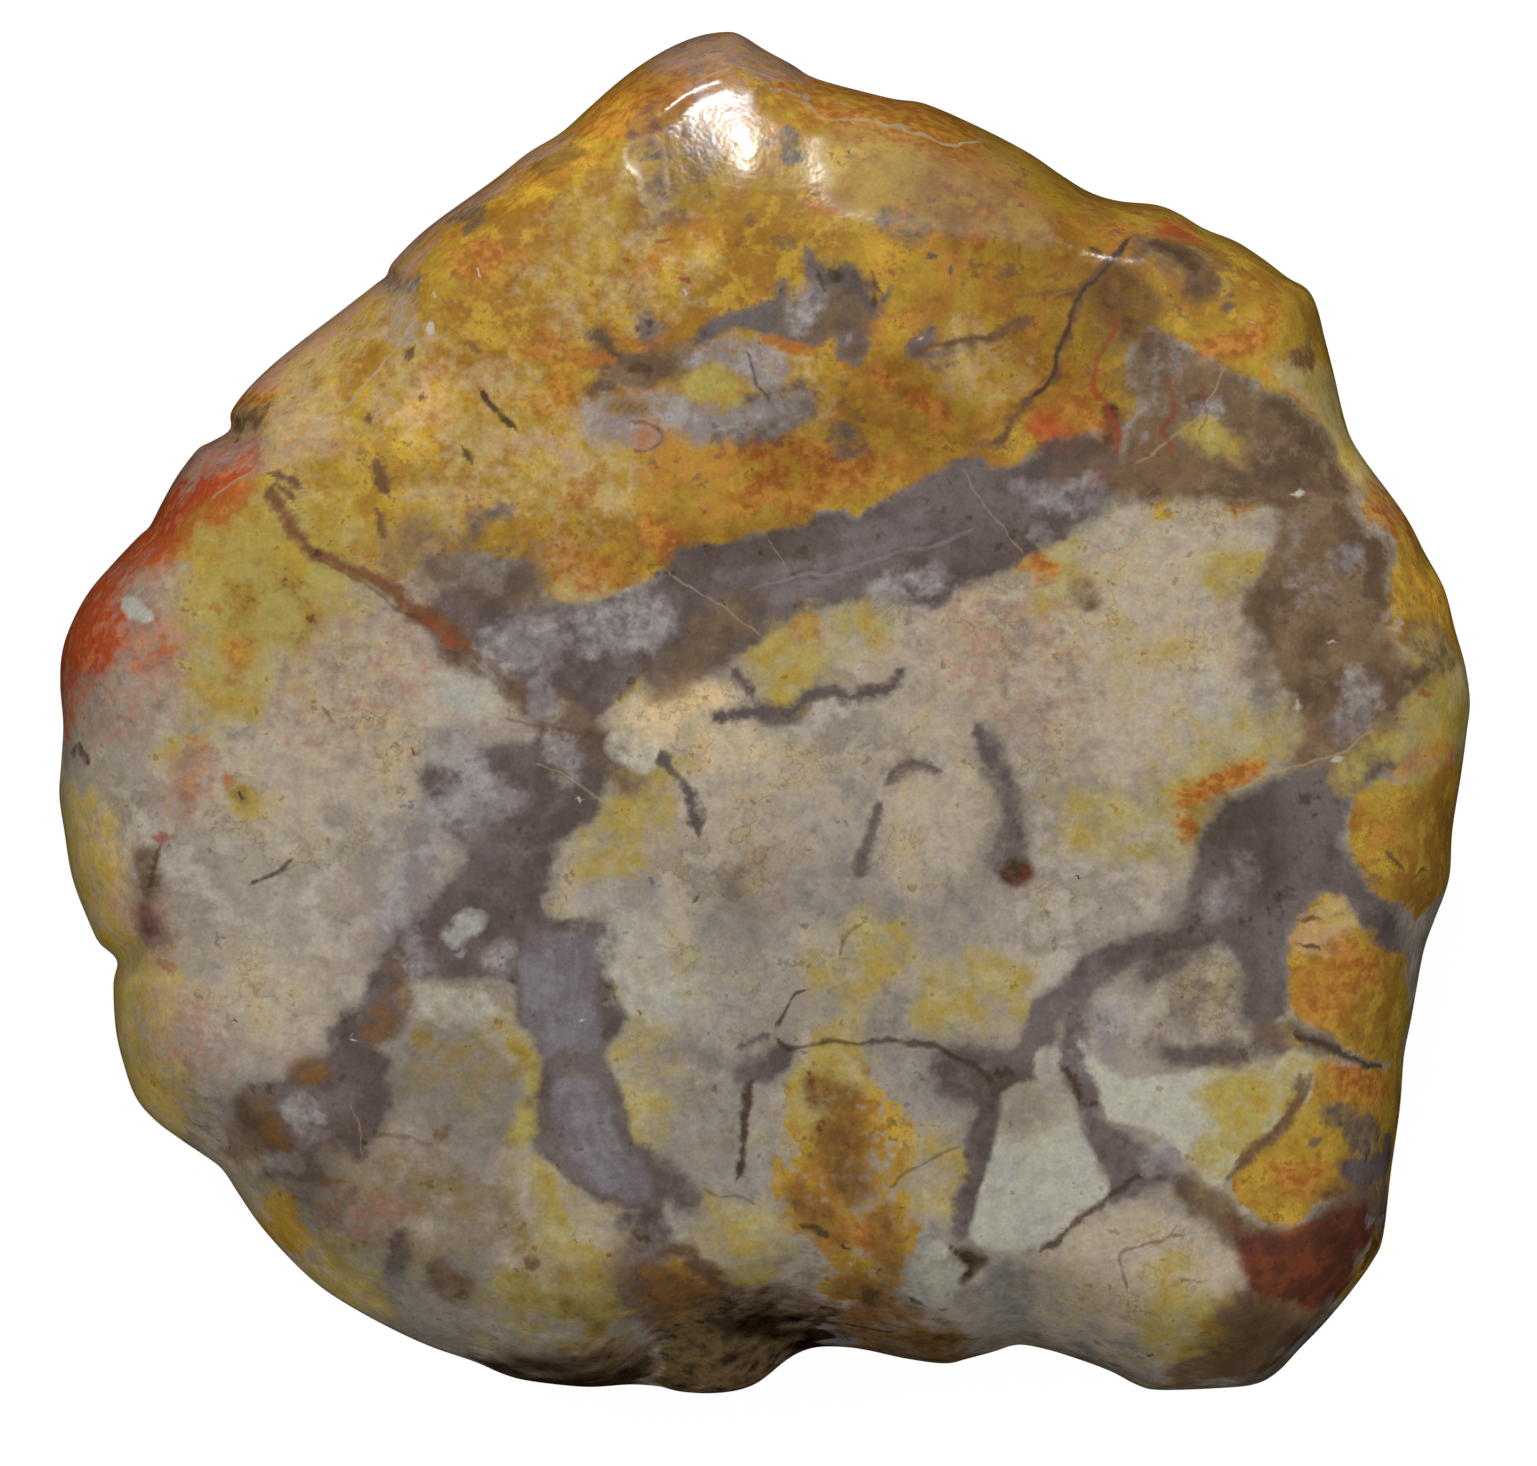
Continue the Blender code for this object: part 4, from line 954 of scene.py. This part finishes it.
def wandered(verts, pixels, drawn):
    """The places shifted a little by noise, so that no outline runs too smoothly."""
    noise.seed_set(WANDER_SEED)
    slow, quick = wander(verts, SLOW_WAVES), wander(verts, QUICK_WAVES)
    deep = wander(verts, DEEP_WAVES, DEEP_START)
    fall = (THICKNESS - verts[:, 2]) * PIXELS_PER_METRE
    pixels = pixels + slow * (SLOW_PX + fall * SLOW_SHARE)[:, None] + quick * QUICK_PX
    return pixels + deep * (drawn * DEEP_SHARE)[:, None]


def near_points(pixels, points, reach):
    """Which places lie in the box round some points, widened by a reach."""
    low, high = points.min(axis=0) - reach, points.max(axis=0) + reach
    return np.flatnonzero(((pixels > low) & (pixels < high)).all(axis=1))


def line_through(points):
    """The smooth line through a mark's points; a single point makes a dot."""
    if len(points) > 2:
        return smooth_curve(points, closed=False, steps=5)
    if len(points) == 1:
        return points.repeat(2, axis=0) + [(0, 0), (DOT_PX, 0)]
    return points


def lay(field, near, inner, soft, strength):
    """Adds a mark to its layer: how far inside it each place is, in steps of its softness."""
    field[near] = np.maximum(field[near], np.clip(inner / soft, OUTSIDE, strength))


def layer_fields(pixels, drawn):
    """For each layer: how far inside its marks each place lies, up to their strength."""
    fields = {name: np.full(len(pixels), OUTSIDE) for name in LAYER_NAMES}
    for name, text in PATCHES.items():
        for words, points in read_marks(text):
            soft, strength = map(float, words)
            ring = smooth_curve(points, closed=True, steps=4)
            near = near_points(pixels, ring, 2 * soft)
            away = nearest_on(pixels[near], ring, closed=True)[0]
            inner = np.where(inside(pixels[near], ring), away, -away)
            lay(fields[name], near, inner, soft, strength)
    for name, text in STROKES.items():
        for words, points in read_marks(text):
            radius, soft, strength = map(float, words)
            line = line_through(points)
            near = near_points(pixels, line, radius + 2 * soft)
            inner = radius - distance_to(pixels[near], line)
            lay(fields[name], near, inner, soft, strength)
    for name in TONE_LAYERS:
        fields[name] = np.maximum(fields[name] - drawn * TONE_FADE, OUTSIDE)
    return fields


def vein_reach(half_width):
    """How far off its line, in pixels, a vein can still show."""
    return VEIN_SPREAD * half_width + VEIN_MARGIN_PX


def grouped_veins():
    """The veins, cracks and painted highlight lines in groups whose members keep clear of each
    other.
    """
    groups = []
    for (filling, *numbers), points in read_marks(VEINS_AND_PAINTED_GLINTS):
        half_width, strength = map(float, numbers)
        line = line_through(points)
        low, high = line.min(axis=0), line.max(axis=0)

        def clear(other):
            gap = vein_reach(half_width) + vein_reach(other[1]) + VEIN_GAP_PX
            beside = other[3]
            apart = np.maximum(low - beside.max(axis=0), beside.min(axis=0) - high).max()
            return apart > gap or distance_to(line, beside).min() > gap

        group = next((group for group in groups if all(clear(other) for other in group)), None)
        if group is None:
            group = []
            groups.append(group)
        group.append((filling, half_width, strength, line))
    return groups


def vein_field(pixels, group):
    """For each place: how many half widths off a line of the group it is, how strongly it shows,
    its filling; the lines are veins, cracks and painted highlights.
    """
    field = np.zeros((len(pixels), 3))
    field[:, 0] = FAR_OFF
    for filling, half_width, strength, line in group:
        reach = vein_reach(half_width)
        near = near_points(pixels, line, reach + VEIN_RIM_PX)
        away, side, along = nearest_on(pixels[near], line)
        length = np.linalg.norm(np.diff(line, axis=0), axis=1).sum()
        end = min(LONGEST_TAPER, (half_width + TAPER_PX) / length)
        taper = np.maximum(THINNEST, smooth_step(along / end) * smooth_step((1 - along) / end))
        off = np.clip(np.sign(side) * away / (half_width * taper), -FAR_OFF, FAR_OFF)
        shown = strength * smooth_step(TAPER_FADE * (taper - THINNEST)) * (away < reach)
        fill = np.full(len(near), (list(FILLINGS).index(filling) + 0.5) / len(FILLINGS))
        close = away < reach + VEIN_RIM_PX
        field[near[close]] = np.stack([off, shown, fill], axis=1)[close]
    return field


def triples(names):
    """The names three by three, as one attribute holds them."""
    return [names[first:first + 3] for first in range(0, len(names), 3)]


# Shader building

NOISE_ROUGHNESS = 0.62


class Socket:
    """A socket of a shader's node, which adds, subtracts and multiplies as a number does."""

    def __init__(self, shader, socket):
        self.shader = shader
        self.socket = socket

    def maths(self, operation, first, second):
        return self.shader.node("ShaderNodeMath", {"operation": operation}, {0: first, 1: second})

    def __add__(self, other):
        return self.maths("ADD", self, other)

    def __sub__(self, other):
        return self.maths("SUBTRACT", self, other)

    def __rsub__(self, other):
        return self.maths("SUBTRACT", other, self)

    def __mul__(self, other):
        return self.maths("MULTIPLY", self, other)

    def __abs__(self):
        return self.maths("ABSOLUTE", self, 0.0)

    __radd__ = __add__
    __rmul__ = __mul__


class Shader:
    """A material, and the one way to add nodes to it."""

    def __init__(self, name):
        self.material = bpy.data.materials.new(name)
        self.material.use_nodes = True
        self.tree = self.material.node_tree
        self.finish = self.tree.nodes["Principled BSDF"]

    def node(self, kind, settings=None, sockets=None, out=0):
        made = self.tree.nodes.new(kind)
        for name, value in (settings or {}).items():
            if name == "stops":
                self.set_stops(made.color_ramp, value)
            else:
                setattr(made, name, value)
        for name, value in (sockets or {}).items():
            self.feed(self.found(made.inputs, name), value)
        if isinstance(out, tuple):
            return [Socket(self, self.found(made.outputs, name)) for name in out]
        return Socket(self, self.found(made.outputs, out))

    def surface(self):
        return Socket(self, self.finish.outputs["BSDF"])

    def finished(self, values):
        """Sets or links sockets of the material's own surface shader."""
        for name, value in values.items():
            self.feed(self.finish.inputs[name], value)

    def found(self, sockets, name):
        if isinstance(name, int):
            return sockets[name]
        return next(s for s in sockets if s.enabled and name in (s.identifier, s.name))

    def feed(self, socket, value):
        if isinstance(value, Socket):
            self.tree.links.new(value.socket, socket)
        else:
            socket.default_value = value

    def set_stops(self, ramp, stops):
        ramp.interpolation = "CONSTANT"
        while len(ramp.elements) < len(stops):
            ramp.elements.new(1.0)
        for element, (position, colour) in zip(ramp.elements, stops):
            element.position = position
            element.color = colour

    def mix(self, factor, first, second, way="MIX"):
        settings = {"data_type": "RGBA", "blend_type": way, "clamp_factor": True}
        sockets = {"Factor_Float": factor, "A_Color": first, "B_Color": second}
        return self.node("ShaderNodeMix", settings, sockets, out="Result_Color")

    def step(self, value, low, high):
        """0 below low, 1 above high, and eased between them."""
        settings = {"interpolation_type": "SMOOTHSTEP", "clamp": True}
        sockets = {"Value": value, "From Min": low, "From Max": high}
        return self.node("ShaderNodeMapRange", settings, sockets)

    def one_noise(self, place, size, detail, out="Fac"):
        """Noise with features of a size in metres, from 0 to 1."""
        sockets = {
            "Vector": place, "Scale": 1 / size, "Detail": detail, "Roughness": NOISE_ROUGHNESS,
        }
        return self.node("ShaderNodeTexNoise", None, sockets, out=out)

    def noises(self, place, size, detail):
        """Three such noises of the same size that have nothing to do with each other."""
        colour = self.one_noise(place, size, detail, out="Color")
        return self.node("ShaderNodeSeparateColor", None, {"Color": colour}, out=(0, 1, 2))

    def held(self, name):
        """The three numbers that each vertex holds under a name."""
        settings = {"attribute_name": name, "attribute_type": "GEOMETRY"}
        vector = self.node("ShaderNodeAttribute", settings, out="Vector")
        return self.node("ShaderNodeSeparateXYZ", None, {"Vector": vector}, out=(0, 1, 2))


def tint(red, green, blue):
    """A colour as a screen shows it, from 0 to 255, as the shader takes it."""
    def linear(value):
        share = value / 255
        return share / 12.92 if share <= 0.04045 else ((share + 0.055) / 1.055) ** 2.4
    return (linear(red), linear(green), linear(blue), 1.0)


CREAM = tint(154, 143, 127)
CREAM_LIGHT = tint(174, 163, 147)
CREAM_DARK = tint(140, 129, 114)
PINK_CREAM = tint(166, 147, 132)
YELLOW_CREAM = tint(160, 147, 108)
WRINKLE = tint(104, 90, 74)
GREY = tint(127, 120, 111)
GREY_LIGHT = tint(146, 139, 130)
GREY_DARK = tint(106, 98, 90)
IVORY = tint(172, 157, 136)
IVORY_WARM = tint(176, 156, 120)
GOLD = tint(162, 129, 46)
OCHRE = tint(148, 104, 38)
BRIGHT_GOLD = tint(182, 148, 52)
TARNISH = tint(112, 88, 60)
HAIR = tint(92, 62, 38)
PALE = tint(178, 153, 98)
PALE_PINK = tint(173, 142, 106)
YELLOW = tint(158, 137, 66)
YELLOW_LIGHT = tint(166, 153, 104)
ORANGE = tint(156, 92, 36)
ORANGE_LIGHT = tint(174, 118, 50)
RED = tint(164, 72, 36)
RED_LIGHT = tint(176, 106, 62)
PINK = tint(160, 124, 104)
PINK_GREY = tint(136, 112, 100)
VIOLET = tint(105, 94, 90)
DARK_VIOLET = tint(87, 75, 70)
SMOKE = tint(118, 109, 102)
BROWN = tint(116, 93, 69)
DARK_BROWN = tint(92, 72, 55)
UMBER = tint(74, 58, 47)
TAN = tint(126, 106, 82)
MILK = tint(128, 119, 118)
MILK_LIGHT = tint(150, 143, 138)
LAVENDER = tint(107, 98, 100)
LAVENDER_PALE = tint(120, 112, 114)
WHITE = tint(171, 166, 148)
WHITE_GREY = tint(162, 157, 147)
STRAW = tint(164, 148, 79)
STRAW_GOLD = tint(163, 134, 53)
AMBER = tint(120, 84, 38)
AMBER_DARK = tint(102, 70, 36)
DEEP_RED = tint(86, 50, 38)
DEEP_RED_LIGHT = tint(110, 59, 38)
# Near black and dark olive; in the hollow and along the lower rim they are partly painted shade
DARK = tint(34, 25, 18)
DARK_OLIVE = tint(96, 78, 54)
# The tint of the painted shade, and of the small dark specks laid at random
PAINTED_SHADE_AND_SPECKS = tint(130, 116, 98)
HAZE = tint(208, 198, 188)
# A tint brighter than white, which brightens what it multiplies: painted light
PAINTED_LIGHT = tint(300, 293, 274)


# The patterns' feature sizes in metres
CLOUD_SIZE = 0.0052
CLOT_SIZE = 0.0019
FLECK_SIZE = 0.0007
GRAIN_SIZE = 0.00022
RELIEF_SIZE = 0.0009

# The polish
RELIEF_HEIGHT = 0.00012
RELIEF_STRENGTH = 0.3
SMOOTHEST = 0.05
STONE_IOR = 1.54


def stone_material(vein_groups):
    shader = Shader("agatised_stone")
    place = shader.node("ShaderNodeTexCoord", out="Object")
    clouds = shader.noises(place, CLOUD_SIZE, 3.0)
    clots = shader.noises(place, CLOT_SIZE, 4.0)
    flecks = shader.noises(place, FLECK_SIZE, 2.0)
    grain = shader.one_noise(place, GRAIN_SIZE, 1.0)
    relief = shader.one_noise(place, RELIEF_SIZE, 2.0)
    fields = {}
    for number, names in enumerate(triples(LAYER_NAMES)):
        fields.update(zip(names, shader.held(f"marks_{number}")))

    def where(pattern, low, high, share=None):
        """A factor for the places where a pattern lies above a height."""
        factor = shader.step(pattern, low, high)
        return factor if share is None else factor * share

    def thin(pattern, height, low, high):
        """A factor for the hairlines where a pattern passes one height."""
        return 1.0 - shader.step(abs(pattern - height), low, high)

    def mottled(colour, *spots):
        """A colour with others mixed over it in turn, each by its factor."""
        for factor, other in spots:
            colour = shader.mix(factor, colour, other)
        return colour

    def laid(under, name, over, ragged, pattern, edge=1.0, way="MIX"):
        """Lays a layer over a colour; the pattern makes its outline ragged."""
        middle = ragged / 2
        factor = shader.step(fields[name] + pattern * ragged, middle - edge, middle + edge)
        return shader.mix(factor, under, over, way)

    torn = [clots[n] * 0.5 + flecks[(n + 2) % 3] * 0.5 for n in range(3)]
    parts = [where(clots[n], 0.44, 0.61) for n in range(3)]
    hair = thin(clots[2] * 0.88 + flecks[2] * 0.12, 0.5, 0.003, 0.016)
    hair = hair * where(clouds[1] * 0.7 + clots[1] * 0.3, 0.5, 0.58)
    crazing = thin(clots[0] * 0.9 + flecks[1] * 0.1, 0.47, 0.004, 0.026)
    crazing = crazing * where(clouds[2], 0.45, 0.6)

    cream = mottled(
        CREAM_DARK,
        (where(clouds[0], 0.36, 0.62), CREAM),
        (where(clouds[1], 0.50, 0.66, 0.45), PINK_CREAM),
        (where(clouds[2], 0.52, 0.68, 0.7), YELLOW_CREAM),
        (where(clots[0], 0.46, 0.62, 0.75), CREAM_LIGHT),
        (where(clots[1], 0.54, 0.66, 0.5), GREY),
        (crazing * 0.35, WRINKLE),
    )
    grey = mottled(
        GREY,
        (where(clots[1] * 0.6 + clouds[1] * 0.4, 0.42, 0.58), GREY_LIGHT),
        (where(clots[2], 0.56, 0.66, 0.6), GREY_DARK),
    )
    ivory = mottled(
        IVORY,
        (where(clots[1] * 0.5 + clouds[2] * 0.5, 0.46, 0.6), IVORY_WARM),
        (where(clots[2], 0.52, 0.62, 0.5), CREAM),
        (crazing * 0.4, WRINKLE),
    )
    gold = mottled(
        GOLD,
        (where(clouds[0] * 0.6 + clots[0] * 0.4, 0.42, 0.58), OCHRE),
        (where(clots[1], 0.50, 0.62, 0.7), BRIGHT_GOLD),
        (where(clouds[2] * 0.6 + clots[2] * 0.4, 0.54, 0.62, 0.7), ORANGE_LIGHT),
        (where(clots[2] * 0.6 + flecks[2] * 0.4, 0.57, 0.64, 0.7), TARNISH),
        (hair * 0.4, HAIR),
    )
    violet = mottled(
        DARK_VIOLET,
        (where(clouds[0] * 0.6 + clots[1] * 0.4, 0.40, 0.58), VIOLET),
        (where(clots[2] * 0.7 + clouds[1] * 0.3, 0.52, 0.66, 0.5), SMOKE),
        (where(torn[1], 0.53, 0.62, 0.45), UMBER),
    )
    brown = mottled(
        DARK_BROWN,
        (where(clouds[1] * 0.6 + clots[0] * 0.4, 0.42, 0.58), BROWN),
        (where(clots[1], 0.52, 0.64, 0.6), TAN),
    )

    colour = laid(cream, "grey", grey, 4.0, clots[0])
    colour = laid(colour, "ivory", ivory, 4.0, clots[1])
    halo = shader.step(fields["violet"] + clots[1] * 4.0, -0.2, 2.6) * 0.7
    colour = shader.mix(halo, colour, SMOKE)

    # Each layer's name and colour, how ragged its outline is, by what pattern, and how soft
    for layer in (
        ("gold", gold, 5.0, torn[2], 0.4),
        ("pale", mottled(PALE, (parts[0], PALE_PINK)), 7.0, torn[2]),
        ("yellow", mottled(YELLOW, (parts[2], YELLOW_LIGHT)), 5.0, clots[1]),
        ("orange", mottled(ORANGE, (where(flecks[0], 0.42, 0.6), ORANGE_LIGHT)), 6.0, torn[0]),
        ("red", mottled(RED, (where(torn[1], 0.5, 0.64), RED_LIGHT)), 2.5, clots[0]),
        ("pink", mottled(PINK, (parts[2], PINK_GREY)), 4.0, flecks[1]),
        ("violet", violet, 3.6, torn[0], 0.7),
        ("brown", brown, 3.2, torn[2]),
        ("lavender", mottled(LAVENDER, (parts[0], LAVENDER_PALE)), 1.5, flecks[0]),
        ("milk", mottled(MILK, (parts[0], MILK_LIGHT)), 5.0, torn[1]),
        ("white", mottled(WHITE, (parts[2], WHITE_GREY)), 3.0, torn[0], 0.6),
        ("straw", mottled(STRAW, (parts[1], STRAW_GOLD)), 5.0, clots[2]),
        ("amber", mottled(AMBER, (where(torn[2], 0.45, 0.6), AMBER_DARK)), 5.0, torn[1]),
        ("deep", mottled(DEEP_RED, (parts[0], DEEP_RED_LIGHT)), 3.0, clots[1]),
        ("dark", mottled(DARK, (where(torn[1], 0.3, 0.6), DARK_OLIVE)), 3.5, torn[2]),
        # Painted shade along the lower rim and in the hollow
        ("shade", PAINTED_SHADE_AND_SPECKS, 1.5, clots[2], 1.0, "MULTIPLY"),
        ("smoke", HAZE, 4.0, clots[1], 1.0, "MULTIPLY"),
        # Painted light on the steep rims and the low lobe
        ("light", PAINTED_LIGHT, 2.0, clots[0], 1.0, "MULTIPLY"),
    ):
        colour = laid(colour, *layer)
    colour = shader.mix(where(torn[1], 0.60, 0.65, 0.45), colour, PAINTED_SHADE_AND_SPECKS, "MULTIPLY")

    stops = [(n / len(FILLINGS), tint(*filling)) for n, filling in enumerate(FILLINGS.values())]
    # Veins, cracks and painted highlight lines over the colour
    for number in range(vein_groups):
        off, shown, filling = shader.held(f"veins_{number}")
        mask = (1.0 - shader.step(abs(off) + flecks[number % 3] * 2.8, 1.5, 3.1)) * shown
        fill = shader.node("ShaderNodeValToRGB", {"stops": stops}, {"Fac": filling}, out="Color")
        colour = shader.mix(mask, colour, fill)

    # The finest patterns make every colour a little brighter or darker
    tone = flecks[0] * 0.5 + grain * 0.4 + clots[1] * 0.35 + 0.375
    channels = dict.fromkeys(("Red", "Green", "Blue"), tone)
    bright = shader.node("ShaderNodeCombineColor", None, channels)
    colour = shader.mix(1.0, colour, bright, "MULTIPLY")
    dull = shader.step(fields["dull"], -1.0, 1.0)
    rough = flecks[1] * 0.16 + clots[0] * 0.12 + dull * 0.5 + SMOOTHEST
    sockets = {"Strength": RELIEF_STRENGTH, "Distance": RELIEF_HEIGHT, "Height": relief}
    normal = shader.node("ShaderNodeBump", None, sockets)
    shader.finished({"Base Color": colour, "Roughness": rough, "Normal": normal, "IOR": STONE_IOR})
    return shader.material


def placed(name, data):
    """A new object in the scene."""
    made = bpy.data.objects.new(name, data)
    bpy.context.scene.collection.objects.link(made)
    return made


def make_stone():
    verts, faces, corners = stone_form()
    mesh = bpy.data.meshes.new("stone")
    mesh.from_pydata(verts.tolist(), [], faces)
    mesh.uv_layers.new(name="OFBake").data.foreach_set("uv", corners.ravel())
    pixels, drawn = view_places(verts)
    pixels = wandered(verts, pixels, drawn)
    fields = layer_fields(pixels, drawn)
    held = {}
    for number, names in enumerate(triples(LAYER_NAMES)):
        held[f"marks_{number}"] = np.stack([fields[name] for name in names], axis=1)
    groups = grouped_veins()
    for number, group in enumerate(groups):
        held[f"veins_{number}"] = vein_field(pixels, group)
    for name, values in held.items():
        attribute = mesh.attributes.new(name, "FLOAT_VECTOR", "POINT")
        attribute.data.foreach_set("vector", values.ravel())
    mesh.shade_smooth()
    mesh.materials.append(stone_material(len(groups)))
    stone = placed("stone", mesh)
    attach(stone, "root")
    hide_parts("coprolite")


# Floor, lights and camera

WHITE_LIGHT = (1.0, 1.0, 1.0, 1.0)
FLOOR_COLOUR = (0.12, 0.12, 0.12, 1.0)
FLOOR_ROUGHNESS = 0.9
FLOOR_GLOW = 0.95
FLOOR_REACH = 1.5
FLOOR_GAP = 0.00005
STUDIO_GLOW = 0.52
LIT_POINT = (0.0, 0.0, 0.02)
SENSOR_WIDTH = 36


def make_floor():
    mesh = bpy.data.meshes.new("floor")
    corners = [(-1, -1), (1, -1), (1, 1), (-1, 1)]
    verts = [(x * FLOOR_REACH, y * FLOOR_REACH, -FLOOR_GAP) for x, y in corners]
    mesh.from_pydata(verts, [], [(0, 1, 2, 3)])
    shader = Shader("pale floor")
    shader.finished({
        "Base Color": FLOOR_COLOUR, "Roughness": FLOOR_ROUGHNESS,
        "Emission Color": WHITE_LIGHT, "Emission Strength": FLOOR_GLOW,
    })
    # Open from below, so that the stone's underside can be looked at
    below = shader.node("ShaderNodeNewGeometry", out="Backfacing")
    clear = shader.node("ShaderNodeBsdfTransparent", out="BSDF")
    one_sided = shader.node("ShaderNodeMixShader", None, {0: below, 1: shader.surface(), 2: clear})
    shader.feed(shader.tree.nodes["Material Output"].inputs["Surface"], one_sided)
    mesh.materials.append(shader.material)
    floor = placed("floor", mesh)
    floor.visible_diffuse = False
    floor.visible_glossy = False


def make_light(name, size, power, place):
    lamp = bpy.data.lights.new(name, "AREA")
    lamp.shape = "RECTANGLE"
    lamp.size, lamp.size_y = size
    lamp.energy = power
    light = placed(name, lamp)
    light.location = place
    light.rotation_mode = "QUATERNION"
    light.rotation_quaternion = (Vector(place) - Vector(LIT_POINT)).to_track_quat("Z", "Y")
    return light


def make_lights():
    make_light("key", (0.045, 0.075), 2.8, (-0.004, 0.46, 0.45))
    fill = make_light("fill", (0.9, 0.6), 0.5, (-0.1, 0.3, 0.65))
    fill.visible_glossy = False
    world = bpy.data.worlds.new("studio")
    world.use_nodes = True
    background = world.node_tree.nodes["Background"]
    background.inputs["Color"].default_value = WHITE_LIGHT
    background.inputs["Strength"].default_value = STUDIO_GLOW
    world.cycles_visibility.glossy = False
    bpy.context.scene.world = world
    bpy.context.scene.view_settings.view_transform = "Standard"


def make_camera():
    camera = bpy.data.cameras.new("camera")
    camera.sensor_width = SENSOR_WIDTH
    camera.lens = SENSOR_WIDTH / (VIEW_SIZE_PX[0] * SCALE / VIEW_HEIGHT)
    camera.clip_end = 10
    eye = placed("camera", camera)
    eye.location = (*VIEW_MIDDLE, WAIST_HEIGHT + VIEW_HEIGHT)
    bpy.context.scene.camera = eye


make_stone()
make_floor()
make_lights()
make_camera()
